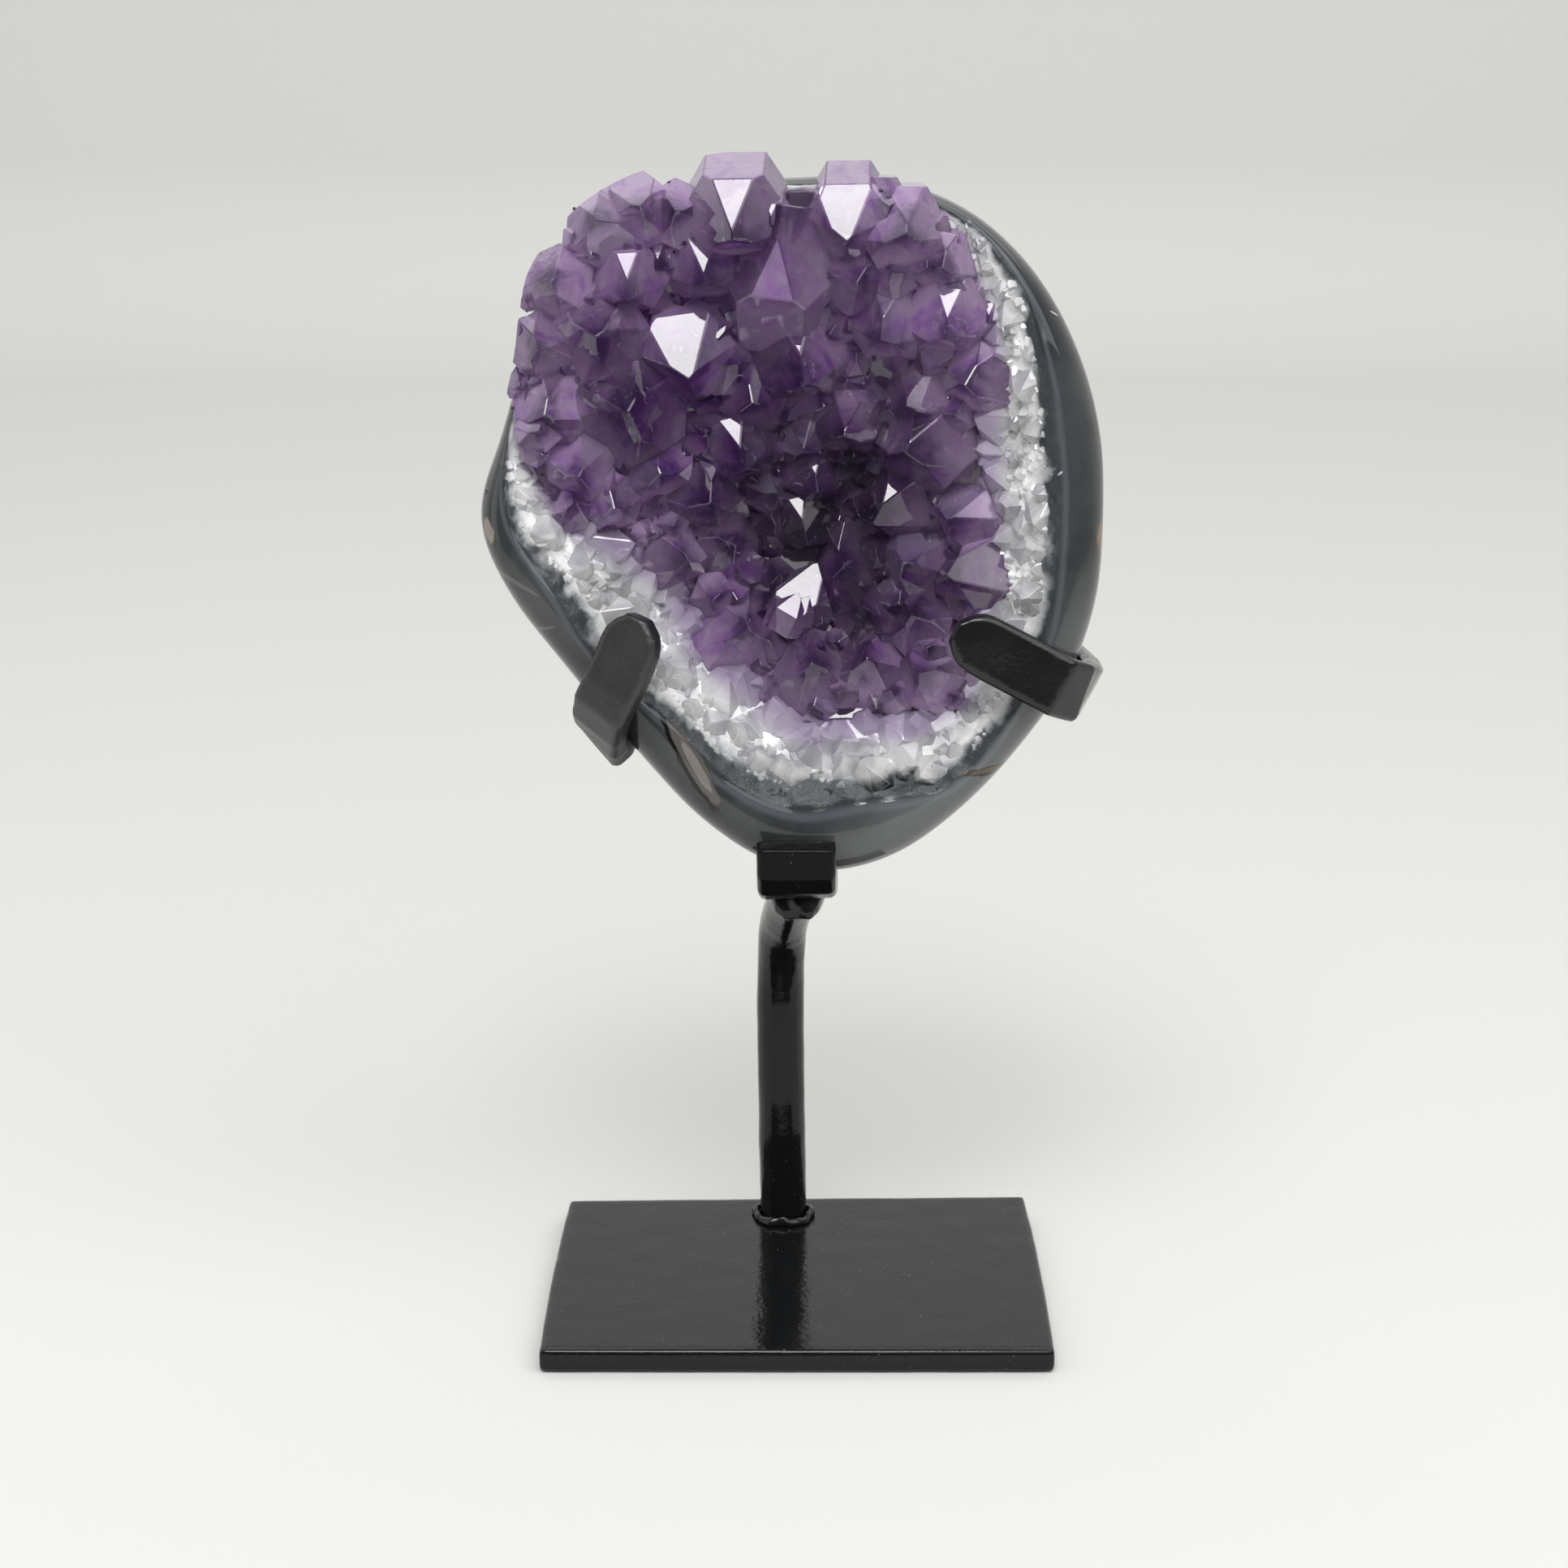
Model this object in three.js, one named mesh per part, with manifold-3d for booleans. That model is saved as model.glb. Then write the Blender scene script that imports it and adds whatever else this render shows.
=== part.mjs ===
// An amethyst geode on a black steel claw stand, in millimetres with +Z up.
// The origin is the centre of the base plate's underside, and the stone faces -Y.

import * as THREE from 'three';
import { mergeVertices } from 'three/addons/utils/BufferGeometryUtils.js';
import Module from 'manifold-3d';

const wasm = await Module();
wasm.setup();

// Clearance between pieces that touch, and what the crust and the bars keep to the rough stone
const GAP = 0.3;
const CRUST_GAP = 0.45;
const CRUST_SIDE_SCALE = 1.012;
const RIM_LIFT = 0.6;
const BACK_LIFT = 0.8;

// Base plate, ground by hand, so its corners are not quite square
const PLATE = { thick: 4.8, edge: 0.5, bulge: 0.5 };
const PLATE_CORNERS = [[-48.3, -35.6], [48.4, -35.6], [47.7, 37.2], [-47, 35.2]];

// Round post, bent forward under the stone
const POST = { radius: 4.8, sides: 16, steps: 22 };
const POST_FOOT = [-2.5, 26.7];
const POST_ROUTE = [[-2.9, 26.7, 30], [-3.1, 26.4, 56], [-2.6, 20, 69], [-1.2, 9, 78.5], [0.5, -4, 87]];

// Flat bar of the cradle and the arms
const BAR = { thick: 4.4, armWidth: 11.4, cradleWidth: 14.6, corner: 0.8 };
const BAR_ROOM = 0.7;

// Weld metal: the lump under the cradle, and the ring round the post's foot
const HEAD_WELD = { size: [5.4, 6.4, 4.4], at: [0.2, -4.6, 84.4], tilt: 0.3 };
const FOOT_WELD = { sides: 28, spread: 1.3, rise: 1.5 };

// The stone's own frame: u to the right, v up its face, n out of the face towards the viewer
const STONE_AT = [-1, -13, 158];
const LEAN_BACK = THREE.MathUtils.degToRad(6);

// The stone's outline every 15 degrees, from the right and round over the top
const OUTLINE_STEP = 15;
const OUTLINE = [
  57.4, 58.7, 60.5, 62.8, 64.2, 63.4, 61.2, 62.6, 65.2, 63.6, 57.2, 55.4,
  57.8, 54.1, 50.6, 50.4, 53.2, 59.7, 66.2, 66.6, 63, 60.2, 59.4, 58.4,
];
// Where the dark rind meets the white quartz band
const RIND_EDGE = [
  48.4, 49.5, 53, 58.5, 62, 61.6, 59.8, 61.2, 63.8, 62, 55.8, 53.6,
  51.5, 45.5, 43.7, 42.8, 43.2, 48.8, 52.8, 53.4, 56.8, 54.7, 52, 49.6,
];
// Where the quartz band meets the amethyst
const CRUST_EDGE = [
  35, 36, 40.5, 49.5, 57, 59.6, 58.4, 59.8, 62.2, 60.6, 54.6, 50,
  40, 28, 22.5, 26, 29, 31, 37.5, 39, 43.5, 45, 39, 35,
];
// How far the front edge lies behind the face: the upper left is broken away
const RIM_SETBACK = [0, 0, 0, 1, 3, 6, 8, 9, 10, 10, 9, 6, 2, 0, 0, 0, 0, 0, 0, 0, 0, 0, 0, 0];
// How far the crystals on the rim may stand out past the stone's outline, before they are ground off
const CRYSTALS_PROUD = [0, 0, 0, 1, 2, 3, 5, 4.5, 3, 2, 1, 0.5, 0.5, 0, 0, 0, 0, 0, 0, 0, 0, 0, 0, 0];
// How steeply the hollow's wall falls: low numbers are an even slope, high ones a steep wall
const WALL_POWER = [
  2.4, 2.2, 1.9, 1.6, 1.3, 1.1, 1, 0.9, 0.85, 0.85, 0.95, 1.1,
  1.3, 1.5, 1.6, 1.7, 1.7, 1.7, 1.8, 1.9, 2.1, 2.3, 2.4, 2.4,
];
const RIM_ROUND = { across: 6, deep: 9 };
const BACK = { deep: 49, lowBias: 0.1, fullness: 2.5, squareness: 0.45 };
const HOLLOW_DEEP = 27;
const STONE_SPOKES = 56;

// Amethyst crust: a bed of crystals on the hollow's floor, thicker where the rim is broken away
const BED = { thick: 3.6, under: 2, edgeThick: 1, edgeRise: 0.5, spokes: 40 };
const CRYSTAL = { tipRise: 1.08, root: 6, uneven: 0.2, apexShift: 0.3, offBed: 0.55, offFace: 0.6 };

// The large crystals: [u, v, radius, lean in u, lean in v, reach above the bed]
const LARGE_CRYSTALS = [
  [-1.5, 40.5, 11.8, 0, 0.95, 21],
  [-19.2, 31.8, 11.1, 0.05, 0.1, 15],
  [-31, 20.4, 13.3, -0.1, 0, 16],
  [-34.8, 33, 10.2, -0.2, 0.1, 14],
  [1.8, 29.4, 12.4, 0.1, 0.1, 13],
  [-10, 56.5, 9.3, -0.05, 0.5, 15],
  [10.4, 54.4, 8.6, 0, 0.1, 11],
  [19.6, 52, 9, 0.15, 0.1, 11],
  [28.4, 36.8, 9.3, 0, -0.1, 10],
  [17.6, 35.4, 8.8, -0.1, -0.2, 10],
  [33.6, 25.6, 8.8, -0.15, -0.05, 9],
  [23.6, 22.4, 7.5, -0.25, -0.1, 9],
  [25.6, 13.4, 10.8, -0.35, 0, 13],
  [-10.2, 12.6, 9.3, 0.1, -0.05, 11],
  [19.4, 1.4, 9, -0.2, 0.05, 10],
  [2, -2.4, 8.6, 0, 0.15, 9],
  [33.4, -0.9, 7.9, -0.45, 0.05, 9],
  [34, -11.4, 8.8, -0.45, 0.1, 10],
  [-11, -22.8, 9, 0.2, 0.2, 9],
  [3.4, -30.4, 8.8, 0.05, 0.25, 10],
  [14.6, -29.6, 8.4, -0.05, 0.25, 10],
  [-41.8, 42.6, 7.5, -0.25, 0.1, 9],
  [-34.2, 52.6, 7.7, -0.15, 0.25, 9],
  [-27, 55, 7.5, -0.05, 0.3, 9],
  [-29, 44, 7.9, -0.1, 0.1, 11],
  [-44.6, 31.2, 7, -0.35, 0, 8],
  [-43.4, 19.8, 7.9, -0.35, -0.05, 9],
  [-38.6, 9.6, 7.9, -0.2, -0.2, 9],
  [-19.6, 54.4, 7, -0.1, 0.3, 9],
  [-15.7, 46.8, 8.4, 0.05, 0.1, 11],
  [1.4, 55, 7.7, 0.1, 0.3, 9],
  [-17.8, 3.6, 9.7, 0.1, -0.1, 10],
  [-22.4, -8, 7.9, 0.25, 0.05, 9],
  [-13, -6.4, 8.4, 0.1, 0.1, 9],
  [11, -11.4, 8.1, -0.05, 0.15, 9],
  [1, -18, 9, 0.05, 0.25, 10],
  [13.8, -20.2, 7, 0, 0.25, 9],
  [23.6, -9.8, 8.1, -0.25, 0.1, 9],
  [25.6, -30.6, 7.7, -0.15, 0.2, 8],
  [10.2, 17.4, 7.9, -0.05, -0.1, 10],
  [-7.2, 22, 7.9, 0, 0.05, 10],
  [4.4, 7.8, 7.5, 0, 0, 9],
  [11.2, 44.4, 8.1, 0.1, 0, 10],
  [26.8, 46.4, 7, 0.1, 0, 8],
  [-26, 9.2, 8.4, 0.05, -0.1, 10],
  [-33.2, 3.4, 7.2, -0.05, -0.2, 8],
  [24.6, -20.4, 7.9, -0.2, 0.2, 9],
];
// Small crystals fill the bed between the large ones
const SMALL = { spacing: 7.4, jitter: 1.4, radius: 4.3, spread: 1.8, clear: 0.78, seed: 41 };

// Steel bar and stone materials
const blackEnamel = { color: 0x0b0c0d, roughness: 0.22, metalness: 0.1 };
const rindLook = { color: 0x4a4d50, roughness: 0.12, metalness: 0 };
const amethystLook = { color: 0x5b3a86, roughness: 0.08, metalness: 0 };

/** A repeatable source of numbers from 0 to 1. */
function randomFrom(seed) {
  let state = seed;
  return () => {
    state = (state + 0x6d2b79f5) | 0;
    let t = Math.imul(state ^ (state >>> 15), 1 | state);
    t = (t + Math.imul(t ^ (t >>> 7), 61 | t)) ^ t;
    return ((t ^ (t >>> 14)) >>> 0) / 4294967296;
  };
}

/** A value from a list that goes round the stone, smoothed between its steps. */
function around(list, angle) {
  const turn = THREE.MathUtils.euclideanModulo(THREE.MathUtils.radToDeg(angle), 360) / OUTLINE_STEP;
  const i = Math.floor(turn);
  const at = (k) => list[THREE.MathUtils.euclideanModulo(k, list.length)];
  const f = turn - i;
  const [a, b, c, d] = [at(i - 1), at(i), at(i + 1), at(i + 2)];
  return b + 0.5 * f * (c - a + f * (2 * a - 5 * b + 4 * c - d + f * (3 * (b - c) + d - a)));
}

/** A smooth unevenness between -1 and 1 for the granular quartz. */
function grain(u, v, scale) {
  const x = u / scale;
  const y = v / scale;
  const across = Math.sin(2.1 * x + 1.3 * Math.sin(1.7 * y));
  const up = Math.sin(2.4 * y + 1.9 * Math.sin(1.3 * x));
  return (across + up) / 2;
}

function toManifold(geometry) {
  const bare = geometry.clone();
  bare.deleteAttribute('normal');
  bare.deleteAttribute('uv');
  const merged = mergeVertices(bare, 1e-4);
  return new wasm.Manifold(new wasm.Mesh({
    numProp: 3,
    vertProperties: new Float32Array(merged.attributes.position.array),
    triVerts: new Uint32Array(merged.index.array),
  }));
}

function toGeometry(manifold) {
  const mesh = manifold.getMesh();
  const geometry = new THREE.BufferGeometry();
  const points = [];
  for (let i = 0; i < mesh.vertProperties.length; i += mesh.numProp) {
    points.push(mesh.vertProperties[i], mesh.vertProperties[i + 1], mesh.vertProperties[i + 2]);
  }
  geometry.setAttribute('position', new THREE.Float32BufferAttribute(points, 3));
  geometry.setIndex(Array.from(mesh.triVerts));
  geometry.computeVertexNormals();
  return geometry;
}

/** The largest single body of a cut piece, without loose chips. */
function mainBody(manifold) {
  return manifold.decompose().reduce((best, one) => (one.volume() > best.volume() ? one : best));
}

/** A closed skin through rings with equal counts of points, with a fan over each end. */
function loftRings(rings, apex) {
  const count = rings[0].length;
  const points = rings.flat();
  const first = points.length;
  const middleOf = (ring) => ring.reduce((sum, p) => sum.add(p), new THREE.Vector3()).divideScalar(count);
  points.push(middleOf(rings[0]), apex ?? middleOf(rings[rings.length - 1]));
  const index = [];
  for (let j = 0; j < count; j++) {
    const next = (j + 1) % count;
    for (let i = 0; i + 1 < rings.length; i++) {
      const [a, b] = [i * count + j, i * count + next];
      const [c, d] = [a + count, b + count];
      index.push(a, b, d, a, d, c);
    }
    const end = (rings.length - 1) * count;
    index.push(first, next, j, first + 1, end + j, end + next);
  }
  const geometry = new THREE.BufferGeometry().setFromPoints(points);
  geometry.setIndex(index);
  geometry.computeVertexNormals();
  return geometry;
}

/** A piece with its faces pointing out, whichever way it was wound. */
function facedOut(geometry) {
  const p = geometry.attributes.position;
  const ids = geometry.index.array;
  const [a, b, c] = [new THREE.Vector3(), new THREE.Vector3(), new THREE.Vector3()];
  let volume = 0;
  for (let i = 0; i < ids.length; i += 3) {
    a.fromBufferAttribute(p, ids[i]);
    b.fromBufferAttribute(p, ids[i + 1]);
    c.fromBufferAttribute(p, ids[i + 2]);
    volume += a.dot(b.cross(c));
  }
  if (volume < 0) {
    for (let i = 0; i < ids.length; i += 3) [ids[i], ids[i + 1]] = [ids[i + 1], ids[i]];
    geometry.computeVertexNormals();
  }
  return geometry;
}

// Stone

/** How far the floor of the hollow lies behind the face, under the crystals. */
function hollowDepth(u, v) {
  const angle = Math.atan2(v, u);
  const share = Math.min(1, Math.hypot(u, v) / around(RIND_EDGE, angle));
  const setback = around(RIM_SETBACK, angle);
  return setback + (HOLLOW_DEEP - setback) * (1 - share ** around(WALL_POWER, angle));
}

function backDepth(u, v) {
  const angle = Math.atan2(v, u);
  const share = Math.min(1, Math.hypot(u, v) / around(OUTLINE, angle));
  const deep = BACK.deep * (1 - BACK.lowBias * (v / OUTLINE[0]));
  const start = around(RIM_SETBACK, angle) + RIM_ROUND.deep;
  const full = (1 - share ** BACK.fullness) ** BACK.squareness;
  return start + (deep + RIM_ROUND.deep - start) * full;
}

/** A point on the rounded front edge: roll is -90 at the face and 0 at the widest place. */
function rimPoint(angle, roll) {
  const across = Math.min(RIM_ROUND.across, around(OUTLINE, angle) - around(RIND_EDGE, angle));
  const r = around(OUTLINE, angle) - across * (1 - Math.cos(roll));
  const n = -around(RIM_SETBACK, angle) - RIM_ROUND.deep * (1 + Math.sin(roll));
  return new THREE.Vector3(r * Math.cos(angle), r * Math.sin(angle), n);
}

function stoneBody() {
  const floorShares = [0.18, 0.4, 0.62, 0.82, 1];
  const bandShares = [0.3, 0.65, 1];
  const rolls = [-90, -60, -30, 0].map(THREE.MathUtils.degToRad);
  const backTurns = [12, 26, 40, 54, 67, 79].map(THREE.MathUtils.degToRad);
  const angles = Array.from({ length: STONE_SPOKES }, (_, i) => (i / STONE_SPOKES) * 2 * Math.PI);
  const polar = (r, angle) => [r * Math.cos(angle), r * Math.sin(angle)];
  const floorPoint = (r, angle, rough) => {
    const [u, v] = polar(r, angle);
    return new THREE.Vector3(u, v, -hollowDepth(u, v) + rough * grain(u, v, 3.1));
  };
  const rings = [];
  for (const share of floorShares) {
    rings.push(angles.map((a) => floorPoint(share * around(CRUST_EDGE, a), a, 0)));
  }
  for (const share of bandShares) {
    rings.push(angles.map((a) => {
      const [inner, outer] = [around(CRUST_EDGE, a), around(RIND_EDGE, a)];
      return floorPoint(inner + share * (outer - inner), a, share < 1 ? 0.5 : 0);
    }));
  }
  for (const roll of rolls) rings.push(angles.map((a) => rimPoint(a, roll)));
  for (const turn of backTurns) {
    rings.push(angles.map((a) => {
      const [u, v] = polar(around(OUTLINE, a) * Math.cos(turn) ** 0.8, a);
      return new THREE.Vector3(u, v, -backDepth(u, v));
    }));
  }
  return facedOut(loftRings(rings));
}

// Crystals

function bedPoint(u, v) {
  const angle = Math.atan2(v, u);
  const inside = 1 - Math.min(1, Math.hypot(u, v) / around(CRUST_EDGE, angle));
  const edge = BED.edgeThick + BED.edgeRise * around(RIM_SETBACK, angle);
  const thick = edge + (BED.thick - edge) * Math.min(1, inside * 3);
  return new THREE.Vector3(u, v, thick - hollowDepth(u, v));
}

function bedNormal(u, v) {
  const step = 2;
  const slopeU = (bedPoint(u + step, v).z - bedPoint(u - step, v).z) / (2 * step);
  const slopeV = (bedPoint(u, v + step).z - bedPoint(u, v - step).z) / (2 * step);
  return new THREE.Vector3(-slopeU, -slopeV, 1).normalize();
}

/** The slab that the crystals grow from, thick enough to be cut back to the stone. */
function crystalBed() {
  const angles = Array.from({ length: BED.spokes }, (_, i) => (i / BED.spokes) * 2 * Math.PI);
  const shares = [0.2, 0.45, 0.7, 0.88, 1];
  const ringAt = (share, drop) => angles.map((a) => {
    const r = share * around(CRUST_EDGE, a);
    const top = bedPoint(r * Math.cos(a), r * Math.sin(a));
    return new THREE.Vector3(top.x, top.y, top.z - drop);
  });
  const drop = BED.thick + BED.under;
  return facedOut(loftRings([
    ...shares.map((share) => ringAt(share, 0)),
    ...[...shares].reverse().map((share) => ringAt(share, drop)),
  ]));
}

/** One quartz crystal: an uneven six-sided prism under a six-sided point, along +Z from the bed. */
function crystalShape(radius, reach, random) {
  const apothems = Array.from({ length: 6 }, (_, i) => {
    const large = i % 2 === 0 ? 1 - CRYSTAL.uneven * 0.5 : 1;
    return radius * 0.9 * large * (1 + CRYSTAL.uneven * (random() - 0.5));
  });
  const corners = apothems.map((near, i) => {
    const far = apothems[(i + 1) % 6];
    const along = (2 * far - near) / Math.sqrt(3);
    const angle = (i * Math.PI) / 3;
    return new THREE.Vector2(
      near * Math.cos(angle) - along * Math.sin(angle),
      near * Math.sin(angle) + along * Math.cos(angle),
    );
  });
  const shoulder = reach - radius * CRYSTAL.tipRise;
  const level = (z) => corners.map((c) => new THREE.Vector3(c.x, c.y, z));
  const apex = new THREE.Vector3(
    radius * CRYSTAL.apexShift * (random() - 0.5),
    radius * CRYSTAL.apexShift * (random() - 0.5),
    reach,
  );
  return facedOut(loftRings([level(-CRYSTAL.root), level(shoulder)], apex));
}

function crystal([u, v, radius, leanU, leanV, reach], random) {
  const lean = new THREE.Vector3(leanU, leanV, CRYSTAL.offFace);
  const axis = bedNormal(u, v).multiplyScalar(CRYSTAL.offBed).add(lean).normalize();
  const turn = new THREE.Quaternion().setFromUnitVectors(new THREE.Vector3(0, 0, 1), axis);
  const spin = new THREE.Quaternion().setFromAxisAngle(new THREE.Vector3(0, 0, 1), random() * Math.PI);
  const shape = crystalShape(radius, reach, random);
  return shape.applyQuaternion(turn.multiply(spin)).translate(...bedPoint(u, v).toArray());
}

/** Places for the small crystals, on a shaken grid that keeps clear of the large ones. */
function smallCrystals(random) {
  const found = [];
  const half = Math.max(...OUTLINE);
  const row = SMALL.spacing * Math.sqrt(0.75);
  const shake = () => (random() - 0.5) * 2 * SMALL.jitter;
  let odd = false;
  for (let v = -half; v < half; v += row) {
    odd = !odd;
    for (let u = -half + (odd ? SMALL.spacing / 2 : 0); u < half; u += SMALL.spacing) {
      const [x, y] = [u + shake(), v + shake()];
      const radius = SMALL.radius + SMALL.spread * random();
      const edge = around(CRUST_EDGE, Math.atan2(y, x)) - 3;
      const covered = LARGE_CRYSTALS.some(([lu, lv, lr]) => Math.hypot(x - lu, y - lv) < lr * SMALL.clear);
      if (Math.hypot(x, y) > edge || covered) continue;
      const outward = 0.25 * (Math.hypot(x, y) / edge) ** 3 * (y > 0 ? 1 : -0.6);
      found.push([
        x,
        y,
        radius,
        (x / half) * outward + 0.35 * (random() - 0.5),
        (y / half) * outward + 0.35 * (random() - 0.5),
        radius * (1.15 + 0.7 * random()),
      ]);
    }
  }
  return found;
}

/** The space that the crystals keep within: those on the rim are ground off along the stone's side. */
function withinSides() {
  const angles = Array.from({ length: STONE_SPOKES }, (_, i) => (i / STONE_SPOKES) * 2 * Math.PI);
  const ringAt = (n) => angles.map((a) => {
    const r = around(OUTLINE, a) + around(CRYSTALS_PROUD, a);
    return new THREE.Vector3(r * Math.cos(a), r * Math.sin(a), n);
  });
  return facedOut(loftRings([ringAt(-HOLLOW_DEEP), ringAt(HOLLOW_DEEP)]));
}

/** All the crystals grown together, cut back to the stone and clear of the arms. */
function amethystCrust(stone, armRooms) {
  const random = randomFrom(SMALL.seed);
  const sizes = [...LARGE_CRYSTALS, ...smallCrystals(random)];
  const crystals = sizes.map((one) => toManifold(crystal(one, random)));
  const grown = wasm.Manifold.union([toManifold(crystalBed()), ...crystals]);
  const underneath = stone.translate([0, 0, CRUST_GAP]);
  const beside = stone.scale([CRUST_SIDE_SCALE, CRUST_SIDE_SCALE, 1]);
  let cut = grown.intersect(toManifold(withinSides()));
  for (const room of [underneath, beside, ...armRooms]) cut = cut.subtract(room);
  return mainBody(cut);
}

// Stand

/** A flat bar through stations of a place and the way its broad face looks. */
function flatBar(stations, width, thick, roundEnd) {
  const route = new THREE.CatmullRomCurve3(stations.map((s) => s.at), false, 'centripetal');
  const facing = new THREE.CatmullRomCurve3(stations.map((s) => s.out), false, 'centripetal');
  const length = route.getLength();
  const half = width / 2;
  const bendSteps = stations.length * 2 + 3;
  const ends = roundEnd ? [0, 0.08, 0.3, 0.62].map((share) => share * half) : [0];
  const places = ends.concat(Array.from({ length: bendSteps }, (_, i) => {
    const start = roundEnd ? half : 1;
    return start + ((length - start) * i) / (bendSteps - 1);
  }));
  const rings = places.map((along) => {
    const t = route.getUtoTmapping(Math.min(1, along / length));
    const centre = route.getPoint(t);
    const tangent = route.getTangent(t);
    const out = facing.getPoint(t);
    out.addScaledVector(tangent, -out.dot(tangent)).normalize();
    const side = new THREE.Vector3().crossVectors(tangent, out);
    const inEnd = roundEnd && along < half;
    const reach = inEnd ? Math.sqrt(half ** 2 - (half - along) ** 2) : half;
    const w = Math.max(reach, BAR.corner + 1.6);
    const h = thick / 2;
    const c = BAR.corner;
    const outline = [
      [w - c, h], [w, h - c], [w, c - h], [w - c, -h], [c - w, -h], [-w, c - h], [-w, h - c], [c - w, h],
    ];
    return outline.map(([x, y]) => centre.clone().addScaledVector(side, x).addScaledVector(out, y));
  });
  return facedOut(loftRings(rings));
}

function rimStation(degrees, rollDegrees) {
  const [angle, roll] = [degrees, rollDegrees].map(THREE.MathUtils.degToRad);
  const step = 0.05;
  const round = rimPoint(angle + step, roll).sub(rimPoint(angle - step, roll));
  const over = rimPoint(angle, roll + step).sub(rimPoint(angle, roll - step));
  const out = new THREE.Vector3().crossVectors(over, round).normalize();
  return { at: rimPoint(angle, roll).addScaledVector(out, BAR.thick / 2 + RIM_LIFT), out };
}

function backStation(u, v) {
  const step = 1;
  const slopeU = (backDepth(u + step, v) - backDepth(u - step, v)) / (2 * step);
  const slopeV = (backDepth(u, v + step) - backDepth(u, v - step)) / (2 * step);
  const out = new THREE.Vector3(-slopeU, -slopeV, -1).normalize();
  const at = new THREE.Vector3(u, v, -backDepth(u, v)).addScaledVector(out, BAR.thick / 2 + BACK_LIFT);
  return { at, out };
}

function station(at, out) {
  return { at: new THREE.Vector3(...at), out: new THREE.Vector3(...out).normalize() };
}

// The cradle: a lip in front, under the stone and up its back
const cradleRoute = [
  station([0.8, -58.9, 4], [0, -0.2, 1]),
  station([0.8, -63, 2.6], [0, -0.45, 1]),
  station([0.9, -67.2, -1.6], [0.02, -0.9, 0.5]),
  station([1.2, -69.2, -8], [0.03, -1, 0.08]),
  station([1.5, -69.2, -15], [0.02, -1, -0.08]),
  backStation(1, -62.5),
  backStation(0.5, -56),
  backStation(0, -46),
  backStation(0, -34),
  backStation(0, -20),
  backStation(0, -4),
];

const rightArmRoute = [
  station([29.3, -19.4, 3.4], [0, 0, 1]),
  station([41, -25.6, 3.2], [0.03, 0, 1]),
  station([51.6, -31.2, 2.9], [0.2, -0.1, 1]),
  rimStation(329, -45),
  rimStation(329, -8),
  backStation(49.8, -29.8),
  backStation(41, -25.5),
  backStation(27, -18.5),
  backStation(12, -11.5),
];

const leftArmRoute = [
  station([-27.2, -16.8, 5.4], [-0.46, -0.06, 0.88]),
  station([-30.6, -26.2, 4.4], [-0.5, -0.12, 0.86]),
  station([-34.6, -34.4, 2.4], [-0.6, -0.34, 0.72]),
  rimStation(229, -26),
  rimStation(230.5, 0),
  backStation(-31.2, -38.4),
  backStation(-29.4, -35),
  backStation(-24, -28.5),
  backStation(-18, -21),
  backStation(-12, -13.5),
];

function plateGeometry() {
  const inset = PLATE.edge;
  const shape = new THREE.Shape();
  const corners = PLATE_CORNERS.map(([x, y]) => [x - Math.sign(x) * inset, y - Math.sign(y) * inset]);
  shape.moveTo(...corners[0]);
  corners.forEach(([x, y], i) => {
    const [nx, ny] = corners[(i + 1) % corners.length];
    const [mx, my] = [(x + nx) / 2, (y + ny) / 2];
    const out = PLATE.bulge * 2;
    const sideways = Math.abs(nx - x) < Math.abs(ny - y);
    const [bx, by] = sideways ? [mx + Math.sign(mx) * out, my] : [mx, my + (Math.sign(my) * out) / 4];
    shape.quadraticCurveTo(bx, by, nx, ny);
  });
  return new THREE.ExtrudeGeometry(shape, {
    depth: PLATE.thick - 2 * inset,
    curveSegments: 6,
    bevelEnabled: true,
    bevelThickness: inset,
    bevelSize: inset,
    bevelSegments: 1,
  }).translate(0, 0, inset);
}

function postGeometry(radius, low) {
  const foot = [new THREE.Vector3(...POST_FOOT, low), new THREE.Vector3(-2.6, 26.7, 12)];
  const route = new THREE.CatmullRomCurve3([...foot, ...POST_ROUTE.map((p) => new THREE.Vector3(...p))]);
  const sides = new THREE.Shape(Array.from({ length: POST.sides }, (_, i) => {
    const angle = (i / POST.sides) * 2 * Math.PI;
    return new THREE.Vector2(radius * Math.cos(angle), radius * Math.sin(angle));
  }));
  return new THREE.ExtrudeGeometry(sides, { steps: POST.steps, bevelEnabled: false, extrudePath: route });
}

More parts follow.
